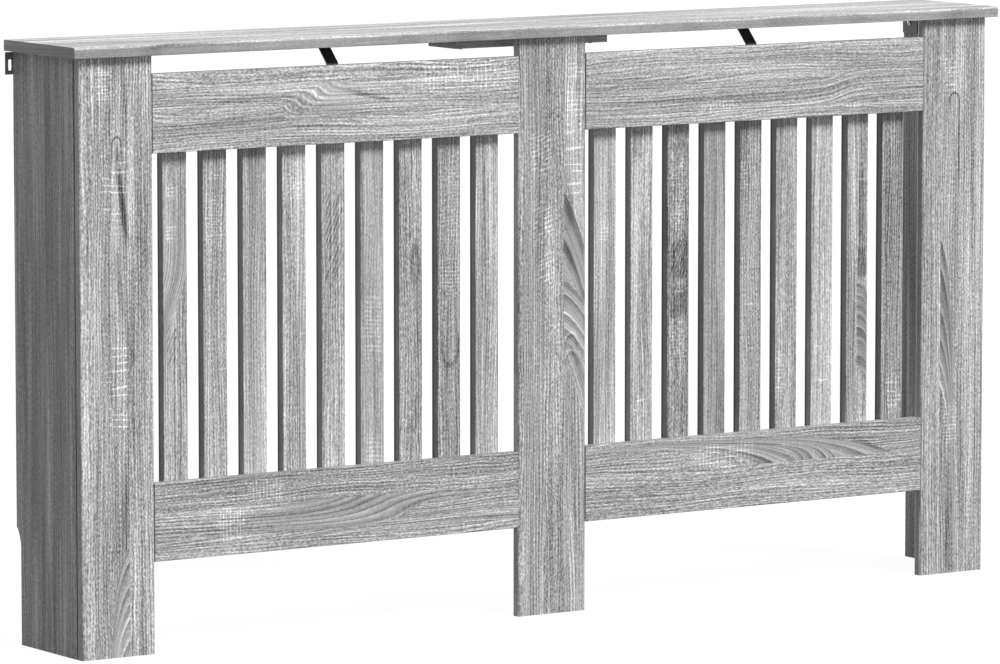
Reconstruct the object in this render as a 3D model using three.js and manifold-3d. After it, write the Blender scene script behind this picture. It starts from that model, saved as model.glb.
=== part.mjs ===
// Radiator cover cabinet: a shelf on three posts and two side panels, with two bays of upright slats.
// It stands over a radiator, open at the back and below, and two steel angles hold it to the wall.
// Millimetres. X runs along the cover, +Y towards the wall and +Z up; the origin is on the floor, at the
// middle of the cover's length and depth.
import * as THREE from "three";
import { mergeVertices } from "three/addons/utils/BufferGeometryUtils.js";
import Module from "manifold-3d";

// ---- Driving dimensions ----

const TOTAL_HEIGHT = 815;

const TOP_LENGTH = 1520;
const TOP_DEPTH = 190;
const TOP_THICKNESS = 15;
const TOP_NOSE_RADIUS = 4; // the rounded upper front edge
const END_OVERHANG = 12.5; // the top board past the side panels
const FRONT_OVERHANG = 11.5; // the top board past the posts

const POST_WIDTH = 112;
const POST_THICKNESS = 15;
const POST_EDGE_RADIUS = 4;

const PANEL_THICKNESS = 15;
const SKIRTING_DEPTH = 11.5; // the cut-out that clears the skirting board
const SKIRTING_HEIGHT = 130; // its upright run, from the floor
const SKIRTING_RISE = 30; // its curved run, above the upright one

const RAIL_HEIGHT = 105.5;
const FLOOR_GAP = 124; // under the bottom rails
const VENT_GAP = 25; // between the top rails and the top board

const SLATS_PER_BAY = 9;
const SLAT_WIDTH = 37;
const SLAT_THICKNESS = 15;
const SLAT_END_GAP = 23.25; // from a post to the nearest slat
const SLAT_LAP = 60; // of a slat's end behind its rail

const EASED_EDGE = 1; // the radius of every edge that has no larger one

const PLATE_LENGTH = 250;
const PLATE_DEPTH = 70;
const PLATE_THICKNESS = 15;
const PLATE_SETBACK = 62; // from the front of the top board

const BRACE_WIDTH = 18;
const BRACE_THICKNESS = 2;
const BRACE_RAIL_FLANGE = 36; // down the rear of the top rail
const BRACE_TOP_FLANGE = 40; // back under the top board
const BRACE_RISE = 1; // from the rail's top edge to the lower bend
const BRACE_ANGLE = 45; // degrees from upright
const BRACE_BEND_RADIUS = 3; // inside the bends

const BRACKET_HEIGHT = 30;
const BRACKET_DROP = 2; // from the top board's underside
const BRACKET_REACH = 11; // of the wall leg past the side panel's outer face
const BRACKET_INNER_LEG = 36; // forward from the wall, along the side panel's inner face
const BRACKET_THICKNESS = 1.5;
const BRACKET_BEND_RADIUS = 0.8; // inside the bend
const SLOT_WIDTH = 5.2;
const SLOT_HEIGHT = 15.5;
const SLOT_SHIFT = 2.25; // of the slot's middle below the bracket's
const SLOT_INSET = 7; // from the wall leg's outer end to the slot's middle

const DOWEL_DIAMETER = 8;
const DOWEL_CHAMFER = 1;
const RAIL_DOWEL_LENGTH = 40;
const RAIL_DOWEL_INSET = 25; // from a rail's upper or lower edge
const PANEL_DOWEL_LENGTH = 30;
const PANEL_DOWEL_SEAT = 9.5; // of a panel dowel's length in the post
const PANEL_DOWEL_INSET = 150; // from the floor and from the top board

const SCREW_DIAMETER = 3.5;
const SCREW_LENGTH = 12;
const SCREW_HEAD_DIAMETER = 7.5;
const SCREW_HEAD_HEIGHT = 2.4;
const SCREW_POINT = 3;

const SEAT_GAP = 0.1; // between boards, and between steel and board
const BORE_CLEARANCE = 0.3; // round a dowel or a screw
const BORE_END_SPACE = 1; // past the end of a dowel or a screw

const ROUND_FACETS = 6; // in the arcs of rounded edges, bends and the skirting cut-out
const EASED_FACETS = 3; // in the arcs of eased edges
const DOME_FACETS = 4; // in the arc of a screw's head
const BORE_SIDES = 16;
const OVERRUN = 1; // of a cutter past the face that it enters by

// ---- Places worked out from the dimensions ----

const topUnderside = TOTAL_HEIGHT - TOP_THICKNESS;
const frontY = -TOP_DEPTH / 2;
const wallY = TOP_DEPTH / 2;
const postFrontY = frontY + FRONT_OVERHANG;
const postRearY = postFrontY + POST_THICKNESS; // the plane that the slats, panels and braces meet
const bodyHalfLength = TOP_LENGTH / 2 - END_OVERHANG;
const panelInnerX = bodyHalfLength - PANEL_THICKNESS;
const panelRearY = wallY - BRACKET_THICKNESS - BRACKET_BEND_RADIUS; // its edge stays clear of the bend

const bayLength = (2 * bodyHalfLength - 3 * POST_WIDTH) / 2;
const bayMiddleX = (bayLength + POST_WIDTH) / 2;
const bottomRailZ = FLOOR_GAP;
const topRailZ = topUnderside - VENT_GAP - RAIL_HEIGHT;
const railDowelHeights = [bottomRailZ, topRailZ].flatMap((z) => [
  z + RAIL_DOWEL_INSET,
  z + RAIL_HEIGHT - RAIL_DOWEL_INSET,
]);
const panelDowelHeights = [PANEL_DOWEL_INSET, topUnderside - PANEL_DOWEL_INSET];
const slatBottomZ = bottomRailZ + RAIL_HEIGHT - SLAT_LAP;
const slatTopZ = topRailZ + SLAT_LAP;

// ---- Solids ----

const wasm = await Module();
wasm.setup();

const X = new THREE.Vector3(1, 0, 0);
const Y = new THREE.Vector3(0, 1, 0);
const Z = new THREE.Vector3(0, 0, 1);
const reversed = (direction) => direction.clone().negate();

function solidFrom(geometry) {
  const bare = new THREE.BufferGeometry();
  bare.setAttribute("position", geometry.getAttribute("position"));
  bare.setIndex(geometry.index);
  const merged = mergeVertices(bare);
  return new wasm.Manifold(
    new wasm.Mesh({
      numProp: 3,
      vertProperties: merged.attributes.position.array,
      triVerts: new Uint32Array(merged.index.array),
    }),
  );
}

function geometryFrom(solid) {
  const mesh = solid.getMesh();
  const geometry = new THREE.BufferGeometry();
  geometry.setAttribute("position", new THREE.BufferAttribute(mesh.vertProperties, 3));
  geometry.setIndex(new THREE.BufferAttribute(mesh.triVerts, 1));
  geometry.computeVertexNormals();
  return geometry;
}

// Cuts every cutter out of a piece.
function cut(geometry, cutters) {
  const left = cutters.reduce((solid, cutter) => solid.subtract(solidFrom(cutter)), solidFrom(geometry));
  return geometryFrom(left);
}

// Turns a geometry whose length runs along its own Z to run along the part's X or Y.
function turned(geometry, shapeX, shapeY) {
  const length = new THREE.Vector3().crossVectors(shapeX, shapeY);
  return geometry.applyMatrix4(new THREE.Matrix4().makeBasis(shapeX, shapeY, length));
}

// Extrudes a shape along Z; three.js gives each arc two facets for every curve segment.
function uprightBoard(section, length, arcFacets = EASED_FACETS) {
  const settings = { depth: length, bevelEnabled: false, curveSegments: arcFacets / 2 };
  return new THREE.ExtrudeGeometry(section, settings);
}

// Extrudes a shape drawn in Y and Z along X.
const lengthwiseBoard = (section, length, arcFacets) =>
  turned(uprightBoard(section, length, arcFacets), Y, Z);

// A rectangle from the origin to (width, height); radii go round from the corner at the origin, anticlockwise.
function roundedRectangle(width, height, radii) {
  const [nearLow, farLow, farHigh, nearHigh] = radii;
  const shape = new THREE.Shape();
  shape.absarc(nearLow, nearLow, nearLow, Math.PI, 1.5 * Math.PI);
  shape.absarc(width - farLow, farLow, farLow, 1.5 * Math.PI, 2 * Math.PI);
  shape.absarc(width - farHigh, height - farHigh, farHigh, 0, 0.5 * Math.PI);
  shape.absarc(nearHigh, height - nearHigh, nearHigh, 0.5 * Math.PI, Math.PI);
  shape.closePath();
  return shape;
}

const easedRectangle = (width, height, radius = EASED_EDGE) =>
  roundedRectangle(width, height, [radius, radius, radius, radius]);

// The outline of a strip of sheet metal bent at each inner corner of a centre line.
function bentStrip(corners, thickness, bendRadius) {
  const headings = corners.slice(1).map((p, i) => p.clone().sub(corners[i]).normalize());
  const leftOf = (heading) => new THREE.Vector2(-heading.y, heading.x);
  const middleRadius = bendRadius + thickness / 2;
  const origin = new THREE.Vector2();

  // One long side of the strip, at an offset to the left of the centre line.
  const sideLine = (offset) => {
    const points = [corners[0].clone().addScaledVector(leftOf(headings[0]), offset)];
    for (let i = 1; i < headings.length; i++) {
      const [before, after] = [headings[i - 1], headings[i]];
      const turn = Math.atan2(before.cross(after), before.dot(after));
      const towards = Math.sign(turn);
      const tangent = middleRadius * Math.tan(Math.abs(turn) / 2);
      const spoke = leftOf(before).multiplyScalar(-towards);
      const centre = corners[i].clone().addScaledVector(before, -tangent);
      centre.addScaledVector(spoke, -middleRadius);
      for (let step = 0; step <= ROUND_FACETS; step++) {
        const arm = spoke.clone().rotateAround(origin, (turn * step) / ROUND_FACETS);
        points.push(centre.clone().addScaledVector(arm, middleRadius - towards * offset));
      }
    }
    points.push(corners.at(-1).clone().addScaledVector(leftOf(headings.at(-1)), offset));
    return points;
  };
  return new THREE.Shape([...sideLine(-thickness / 2), ...sideLine(thickness / 2).reverse()]);
}

// A round cutter that enters a face at mouth and goes depth into the piece.
function boreCutter(mouth, direction, radius, depth) {
  const length = depth + OVERRUN;
  const cutter = new THREE.CylinderGeometry(radius, radius, length, BORE_SIDES);
  cutter.applyQuaternion(new THREE.Quaternion().setFromUnitVectors(Y, direction));
  const middle = mouth.clone().addScaledVector(direction, (depth - OVERRUN) / 2);
  return cutter.translate(middle.x, middle.y, middle.z);
}

const dowelBore = (mouth, direction, seat) =>
  boreCutter(mouth, direction, DOWEL_DIAMETER / 2 + BORE_CLEARANCE, seat + BORE_END_SPACE);

const screwHoleRadius = SCREW_DIAMETER / 2 + BORE_CLEARANCE;

// A screw's hole in a board, behind steel of a given thickness.
const screwBore = (mouth, direction, steel) =>
  boreCutter(mouth, direction, screwHoleRadius, SCREW_LENGTH - steel - 2 * SEAT_GAP + BORE_END_SPACE);

// A screw's hole through steel of a given thickness.
const steelHole = (mouth, direction, steel) =>
  boreCutter(mouth, direction, screwHoleRadius, steel + OVERRUN);

// A dowel with chamfered ends, lying along X or Y with its middle at the origin.
function dowelGeometry(length, direction) {
  const radius = DOWEL_DIAMETER / 2;
  const half = length / 2;
  const profile = [
    new THREE.Vector2(0, -half),
    new THREE.Vector2(radius - DOWEL_CHAMFER, -half),
    new THREE.Vector2(radius, DOWEL_CHAMFER - half),
    new THREE.Vector2(radius, half - DOWEL_CHAMFER),
    new THREE.Vector2(radius - DOWEL_CHAMFER, half),
    new THREE.Vector2(0, half),
  ];
  const dowel = new THREE.LatheGeometry(profile, BORE_SIDES);
  return dowel.applyQuaternion(new THREE.Quaternion().setFromUnitVectors(Y, direction));
}

// A pan-head screw that points along direction; the origin is under its head.
function screwGeometry(direction) {
  const shank = SCREW_DIAMETER / 2;
  const head = SCREW_HEAD_DIAMETER / 2;
  const domeHeight = SCREW_HEAD_HEIGHT / 2;
  const profile = [
    new THREE.Vector2(0, SCREW_LENGTH),
    new THREE.Vector2(shank, SCREW_LENGTH - SCREW_POINT),
    new THREE.Vector2(shank, 0),
    new THREE.Vector2(head, 0),
  ];
  // The dome is a quarter of an ellipse, from the head's rim to the axis.
  for (let step = 0; step < DOME_FACETS; step++) {
    const angle = (0.5 * Math.PI * step) / DOME_FACETS;
    const rise = domeHeight + domeHeight * Math.sin(angle);
    profile.push(new THREE.Vector2(head * Math.cos(angle), -rise));
  }
  profile.push(new THREE.Vector2(0, -SCREW_HEAD_HEIGHT));
  const screw = new THREE.LatheGeometry(profile.reverse(), BORE_SIDES);
  return screw.applyQuaternion(new THREE.Quaternion().setFromUnitVectors(Y, direction));
}

// ---- Meshes ----

const FINISHES = {
  greyOak: { color: 0xa6a6a6, roughness: 0.6, metalness: 0 },
  beech: { color: 0xc8a87c, roughness: 0.7, metalness: 0 },
  blackSteel: { color: 0x1b1b1c, roughness: 0.45, metalness: 0.3 },
  darkSteel: { color: 0x4a4a4c, roughness: 0.4, metalness: 0.8 },
  zinc: { color: 0x9a9a9c, roughness: 0.3, metalness: 1 },
};

function piece(name, finish, geometry, x, y, z) {
  const mesh = new THREE.Mesh(geometry, new THREE.MeshStandardMaterial(FINISHES[finish]));
  mesh.name = name;
  mesh.position.set(x, y, z);
  return mesh;
}

function groupOf(...meshes) {
  const group = new THREE.Group();
  group.add(...meshes.flat());
  return group;
}

const SIDES = [
  { side: "left", sign: -1 },
  { side: "right", sign: 1 },
];

// ---- Top board and its centre plate ----

function topBoard() {
  const section = roundedRectangle(TOP_DEPTH, TOP_THICKNESS, [
    EASED_EDGE,
    EASED_EDGE,
    EASED_EDGE,
    TOP_NOSE_RADIUS,
  ]);
  const cutters = SIDES.map(({ sign }) =>
    screwBore(new THREE.Vector3(TOP_LENGTH / 2 + sign * bayMiddleX, braceTopScrewY - frontY, 0), Z, BRACE_THICKNESS),
  );
  const board = cut(lengthwiseBoard(section, TOP_LENGTH, ROUND_FACETS), cutters);
  return piece("top_board", "greyOak", board, -TOP_LENGTH / 2, frontY, topUnderside);
}

function centrePlate() {
  const board = lengthwiseBoard(easedRectangle(PLATE_DEPTH, PLATE_THICKNESS), PLATE_LENGTH);
  const plateZ = topUnderside - SEAT_GAP - PLATE_THICKNESS;
  return piece("centre_plate", "greyOak", board, -PLATE_LENGTH / 2, frontY + PLATE_SETBACK, plateZ);
}

// ---- Posts, rails and their dowels ----

function post(name, middleX, bayDirections, panelX) {
  const height = topUnderside - SEAT_GAP;
  const section = easedRectangle(POST_WIDTH, POST_THICKNESS, POST_EDGE_RADIUS);
  const board = uprightBoard(section, height, ROUND_FACETS);
  const railBores = bayDirections.flatMap((direction) =>
    railDowelHeights.map((z) => {
      const edge = direction > 0 ? POST_WIDTH : 0;
      const inwards = direction > 0 ? reversed(X) : X;
      return dowelBore(new THREE.Vector3(edge, POST_THICKNESS / 2, z), inwards, RAIL_DOWEL_LENGTH / 2);
    }),
  );
  const leftX = middleX - POST_WIDTH / 2;
  const panelBores = panelX.flatMap((x) =>
    panelDowelHeights.map((z) =>
      dowelBore(new THREE.Vector3(x - leftX, POST_THICKNESS, z), reversed(Y), PANEL_DOWEL_SEAT),
    ),
  );
  return piece(name, "greyOak", cut(board, [...railBores, ...panelBores]), leftX, postFrontY, 0);
}

function rail(name, sign, z, braceScrew) {
  const length = bayLength - 2 * SEAT_GAP;
  const board = lengthwiseBoard(easedRectangle(POST_THICKNESS, RAIL_HEIGHT), length);
  const seat = RAIL_DOWEL_LENGTH / 2;
  const cutters = [RAIL_DOWEL_INSET, RAIL_HEIGHT - RAIL_DOWEL_INSET].flatMap((height) => [
    dowelBore(new THREE.Vector3(0, POST_THICKNESS / 2, height), X, seat),
    dowelBore(new THREE.Vector3(length, POST_THICKNESS / 2, height), reversed(X), seat),
  ]);
  if (braceScrew) {
    const mouth = new THREE.Vector3(length / 2, POST_THICKNESS, braceRailScrewZ - z);
    cutters.push(screwBore(mouth, reversed(Y), BRACE_THICKNESS));
  }
  const leftX = sign * bayMiddleX - length / 2;
  return piece(name, "greyOak", cut(board, cutters), leftX, postFrontY, z);
}

// The joint between a rail and a post lies SEAT_GAP wide at the post's edge, and a dowel is centred on it.
function railDowels() {
  const jointOffset = (bayLength - SEAT_GAP) / 2;
  return SIDES.flatMap(({ side, sign }) =>
    [-1, 1].flatMap((end) =>
      railDowelHeights.map((z, level) => {
        const place = end === sign ? "outer" : "inner";
        const x = sign * bayMiddleX + end * jointOffset;
        const dowel = dowelGeometry(RAIL_DOWEL_LENGTH, X);
        const middleY = postFrontY + POST_THICKNESS / 2;
        return piece(`rail_dowel_${side}_${place}_${level + 1}`, "beech", dowel, x, middleY, z);
      }),
    ),
  );
}

function frontFrame() {
  const endPostX = bodyHalfLength - POST_WIDTH / 2;
  const panelMiddleX = bodyHalfLength - PANEL_THICKNESS / 2;
  const rails = SIDES.flatMap(({ side, sign }) => [
    rail(`bottom_rail_${side}`, sign, bottomRailZ, false),
    rail(`top_rail_${side}`, sign, topRailZ, true),
  ]);
  return groupOf(
    post("post_left", -endPostX, [1], [-panelMiddleX]),
    post("post_centre", 0, [-1, 1], []),
    post("post_right", endPostX, [-1], [panelMiddleX]),
    rails,
    railDowels(),
  );
}

// ---- Slats: in each bay they share the length between the two end gaps evenly ----

function slats() {
  const firstMiddle = SLAT_END_GAP + SLAT_WIDTH / 2;
  const pitch = (bayLength - 2 * firstMiddle) / (SLATS_PER_BAY - 1);
  return SIDES.flatMap(({ side, sign }) =>
    Array.from({ length: SLATS_PER_BAY }, (_, i) => {
      const board = uprightBoard(easedRectangle(SLAT_WIDTH, SLAT_THICKNESS), slatTopZ - slatBottomZ);
      const middleX = sign * bayMiddleX - bayLength / 2 + firstMiddle + i * pitch;
      const x = middleX - SLAT_WIDTH / 2;
      return piece(`slat_${side}_${i + 1}`, "greyOak", board, x, postRearY + SEAT_GAP, slatBottomZ);
    }),
  );
}

// ---- Side panels ----

// The panel's outline in Y and Z, from the post's rear to its own rear edge. The cut-out's upright wall runs
// into an arc that bends back to the rear edge: tangent to the wall, and SKIRTING_RISE high.
function sidePanelOutline(depth, height) {
  const wall = depth - SKIRTING_DEPTH;
  const radius = (SKIRTING_RISE ** 2 + SKIRTING_DEPTH ** 2) / (2 * SKIRTING_DEPTH);
  const sweep = Math.asin(SKIRTING_RISE / radius);
  const outline = new THREE.Shape();
  outline.moveTo(0, 0);
  outline.lineTo(wall, 0);
  outline.absarc(wall + radius, SKIRTING_HEIGHT, radius, Math.PI, Math.PI - sweep, true);
  outline.lineTo(depth, height);
  outline.lineTo(0, height);
  outline.closePath();
  return outline;
}

function sidePanel({ side, sign }) {
  const panelFrontY = postRearY + SEAT_GAP;
  const outline = sidePanelOutline(panelRearY - panelFrontY, topUnderside - SEAT_GAP);
  const seat = PANEL_DOWEL_LENGTH - PANEL_DOWEL_SEAT - SEAT_GAP;
  const dowelBores = panelDowelHeights.map((z) =>
    dowelBore(new THREE.Vector3(PANEL_THICKNESS / 2, 0, z), Y, seat),
  );
  const innerFace = sign > 0 ? 0 : PANEL_THICKNESS;
  const mouth = new THREE.Vector3(innerFace, bracketScrewY - panelFrontY, bracketMiddleZ);
  const board = cut(lengthwiseBoard(outline, PANEL_THICKNESS, ROUND_FACETS), [
    ...dowelBores,
    screwBore(mouth, sign > 0 ? X : reversed(X), BRACKET_THICKNESS),
  ]);
  const leftX = sign > 0 ? panelInnerX : -bodyHalfLength;
  return piece(`side_panel_${side}`, "greyOak", board, leftX, panelFrontY, 0);
}

function panelDowels({ side, sign }) {
  const x = sign * (bodyHalfLength - PANEL_THICKNESS / 2);
  const y = postRearY - PANEL_DOWEL_SEAT + PANEL_DOWEL_LENGTH / 2;
  return panelDowelHeights.map((z, i) =>
    piece(`panel_dowel_${side}_${i + 1}`, "beech", dowelGeometry(PANEL_DOWEL_LENGTH, Y), x, y, z),
  );
}

// ---- Braces: bent straps from the rear of the top rails to the underside of the top board ----

const halfStrap = BRACE_THICKNESS / 2;
const railTopZ = topRailZ + RAIL_HEIGHT;
const braceRailY = postRearY + SEAT_GAP + halfStrap;
const braceTopZ = topUnderside - SEAT_GAP - halfStrap;
const braceLowBendZ = railTopZ + BRACE_RISE;
const braceRun = (braceTopZ - braceLowBendZ) * Math.tan(THREE.MathUtils.degToRad(BRACE_ANGLE));
const braceHighBendY = braceRailY + braceRun;
const braceRailScrewZ = railTopZ - BRACE_RAIL_FLANGE / 2;
const braceTopScrewY = braceHighBendY + BRACE_TOP_FLANGE / 2;

function brace({ side, sign }) {
  const centreLine = [
    new THREE.Vector2(0, railTopZ - BRACE_RAIL_FLANGE - braceTopZ),
    new THREE.Vector2(0, braceLowBendZ - braceTopZ),
    new THREE.Vector2(braceRun, 0),
    new THREE.Vector2(braceRun + BRACE_TOP_FLANGE, 0),
  ];
  const strip = bentStrip(centreLine, BRACE_THICKNESS, BRACE_BEND_RADIUS);
  const railHole = new THREE.Vector3(BRACE_WIDTH / 2, halfStrap, braceRailScrewZ - braceTopZ);
  const topHole = new THREE.Vector3(BRACE_WIDTH / 2, braceTopScrewY - braceRailY, -halfStrap);
  const steel = cut(lengthwiseBoard(strip, BRACE_WIDTH), [
    steelHole(railHole, reversed(Y), BRACE_THICKNESS),
    steelHole(topHole, Z, BRACE_THICKNESS),
  ]);
  const leftX = sign * bayMiddleX - BRACE_WIDTH / 2;
  return piece(`top_brace_${side}`, "blackSteel", steel, leftX, braceRailY, braceTopZ);
}

function braceScrews({ side, sign }) {
  const x = sign * bayMiddleX;
  const railSeatY = braceRailY + halfStrap + SEAT_GAP;
  const topSeatZ = braceTopZ - halfStrap - SEAT_GAP;
  return [
    piece(`brace_screw_${side}_rail`, "zinc", screwGeometry(reversed(Y)), x, railSeatY, braceRailScrewZ),
    piece(`brace_screw_${side}_top`, "zinc", screwGeometry(Z), x, braceTopScrewY, topSeatZ),
  ];
}

// ---- Wall brackets: angles with one leg on the side panel and a slotted leg flat on the wall ----

const halfAngle = BRACKET_THICKNESS / 2;
const bracketMiddleZ = topUnderside - BRACKET_DROP - BRACKET_HEIGHT / 2;
const bracketScrewY = wallY - BRACKET_INNER_LEG / 2;

function wallBracket({ side, sign }) {
  const legX = panelInnerX - SEAT_GAP - halfAngle;
  const legEndX = bodyHalfLength + BRACKET_REACH;
  const centreLine = [
    new THREE.Vector2(sign * legX, -BRACKET_INNER_LEG),
    new THREE.Vector2(sign * legX, -halfAngle),
    new THREE.Vector2(sign * legEndX, -halfAngle),
  ];
  const angle = uprightBoard(bentStrip(centreLine, BRACKET_THICKNESS, BRACKET_BEND_RADIUS), BRACKET_HEIGHT);
  const slotX = sign * (legEndX - SLOT_INSET);
  const slotLength = BRACKET_THICKNESS + 2 * OVERRUN;
  const slot = turned(
    uprightBoard(easedRectangle(SLOT_WIDTH, SLOT_HEIGHT, SLOT_WIDTH / 2), slotLength, ROUND_FACETS),
    X,
    Z,
  ).translate(slotX - SLOT_WIDTH / 2, OVERRUN, BRACKET_HEIGHT / 2 - SLOT_SHIFT - SLOT_HEIGHT / 2);
  const holeMouth = new THREE.Vector3(
    sign * (legX - halfAngle),
    bracketScrewY - wallY,
    BRACKET_HEIGHT / 2,
  );
  const steel = cut(angle, [slot, steelHole(holeMouth, sign > 0 ? X : reversed(X), BRACKET_THICKNESS)]);
  const z = bracketMiddleZ - BRACKET_HEIGHT / 2;
  return piece(`wall_bracket_${side}`, "darkSteel", steel, 0, wallY, z);
}

function bracketScrew({ side, sign }) {
  const seatX = sign * (panelInnerX - 2 * SEAT_GAP - BRACKET_THICKNESS);
  const screw = screwGeometry(sign > 0 ? X : reversed(X));
  return piece(`bracket_screw_${side}`, "zinc", screw, seatX, bracketScrewY, bracketMiddleZ);
}

// ---- The whole cover ----

const cover = groupOf(
  groupOf(topBoard(), centrePlate()),
  frontFrame(),
  groupOf(slats()),
  ...SIDES.map((s) => groupOf(sidePanel(s), panelDowels(s), wallBracket(s), bracketScrew(s))),
  ...SIDES.map((s) => groupOf(brace(s), braceScrews(s))),
);
cover.name = "radiator_cover";

export default cover;
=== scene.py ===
"""Radiator cover in grey rough-sawn oak decor: its finishes, its small screws and the studio.

The boards, straps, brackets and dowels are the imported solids. This file gives each of them its finish and
adds the screws, whose heads and threads are too fine for the solids. Sizes are in metres, in the frame of the
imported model.
"""

import logging
import math
from dataclasses import dataclass
from enum import Enum
from functools import partialmethod
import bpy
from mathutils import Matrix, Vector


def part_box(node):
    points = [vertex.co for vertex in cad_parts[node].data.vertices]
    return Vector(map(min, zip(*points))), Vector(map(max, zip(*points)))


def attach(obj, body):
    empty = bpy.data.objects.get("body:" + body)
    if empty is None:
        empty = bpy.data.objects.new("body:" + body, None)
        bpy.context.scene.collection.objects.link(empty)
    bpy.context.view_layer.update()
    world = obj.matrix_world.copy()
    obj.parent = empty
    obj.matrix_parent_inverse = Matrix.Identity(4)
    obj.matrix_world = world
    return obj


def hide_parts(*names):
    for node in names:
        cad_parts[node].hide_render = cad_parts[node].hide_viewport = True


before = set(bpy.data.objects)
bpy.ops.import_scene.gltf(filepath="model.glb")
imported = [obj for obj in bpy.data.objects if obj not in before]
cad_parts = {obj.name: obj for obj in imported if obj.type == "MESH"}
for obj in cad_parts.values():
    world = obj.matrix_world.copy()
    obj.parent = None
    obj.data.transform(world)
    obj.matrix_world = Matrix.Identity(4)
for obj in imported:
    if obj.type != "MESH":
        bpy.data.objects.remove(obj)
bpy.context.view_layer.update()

from types import SimpleNamespace

import bpy
import numpy as np
from mathutils import Vector

LOG = logging.getLogger("radiator_cover")
BODY = "root"
MM = 0.001

Point = tuple[float, float, float]
Colour = tuple[float, float, float, float]
Tree = bpy.types.NodeTree
Socket = bpy.types.NodeSocket


# Shader nodes


class SocketKind(Enum):
    """The kinds of socket that the shared groups take and give."""

    NUMBER = "NodeSocketFloat"
    VECTOR = "NodeSocketVector"


class Value:
    """What one socket gives. A sum with it adds a Math node, so that the finishes read as plain sums."""

    def __init__(self, sheet: "NodeSheet", socket: Socket) -> None:
        """Keeps the sheet and the socket."""
        self.sheet, self.socket = sheet, socket

    def twin(self, output: str | int) -> "Value":
        """Gives another output of the same node."""
        return Value(self.sheet, self.socket.node.outputs[output])

    def math(self, operation: str, *others: object, clamp: bool = False) -> "Value":
        """Adds a Math node with this value first.

        Args:
            operation: The node's operation, such as ADD.
            others: Its other inputs, each a value or a number.
            clamp: Whether the result is kept between 0 and 1.

        Returns:
            The result.
        """
        inputs = dict(enumerate((self, *others)))
        return self.sheet.add("ShaderNodeMath", inputs, operation=operation, use_clamp=clamp)

    def __rsub__(self, number: float) -> "Value":
        """Takes this value from a plain number."""
        return self.sheet.add("ShaderNodeMath", {0: number, 1: self}, operation="SUBTRACT")

    def __rtruediv__(self, number: float) -> "Value":
        """Divides a plain number by this value."""
        return self.sheet.add("ShaderNodeMath", {0: number, 1: self}, operation="DIVIDE")

    __add__ = partialmethod(math, "ADD")
    __sub__ = partialmethod(math, "SUBTRACT")
    __mul__ = partialmethod(math, "MULTIPLY")
    __truediv__ = partialmethod(math, "DIVIDE")
    __pow__ = partialmethod(math, "POWER")
    __neg__ = partialmethod(math, "MULTIPLY", -1.0)
    __abs__ = partialmethod(math, "ABSOLUTE")
    __gt__ = partialmethod(math, "GREATER_THAN")
    __lt__ = partialmethod(math, "LESS_THAN")
    most = partialmethod(math, "MAXIMUM")
    exponent = partialmethod(math, "EXPONENT")
    root = partialmethod(math, "SQRT")
    floor = partialmethod(math, "FLOOR")
    fraction = partialmethod(math, "FRACT")
    fold = partialmethod(math, "PINGPONG")
    sine = partialmethod(math, "SINE")
    times_add = partialmethod(math, "MULTIPLY_ADD")


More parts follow.
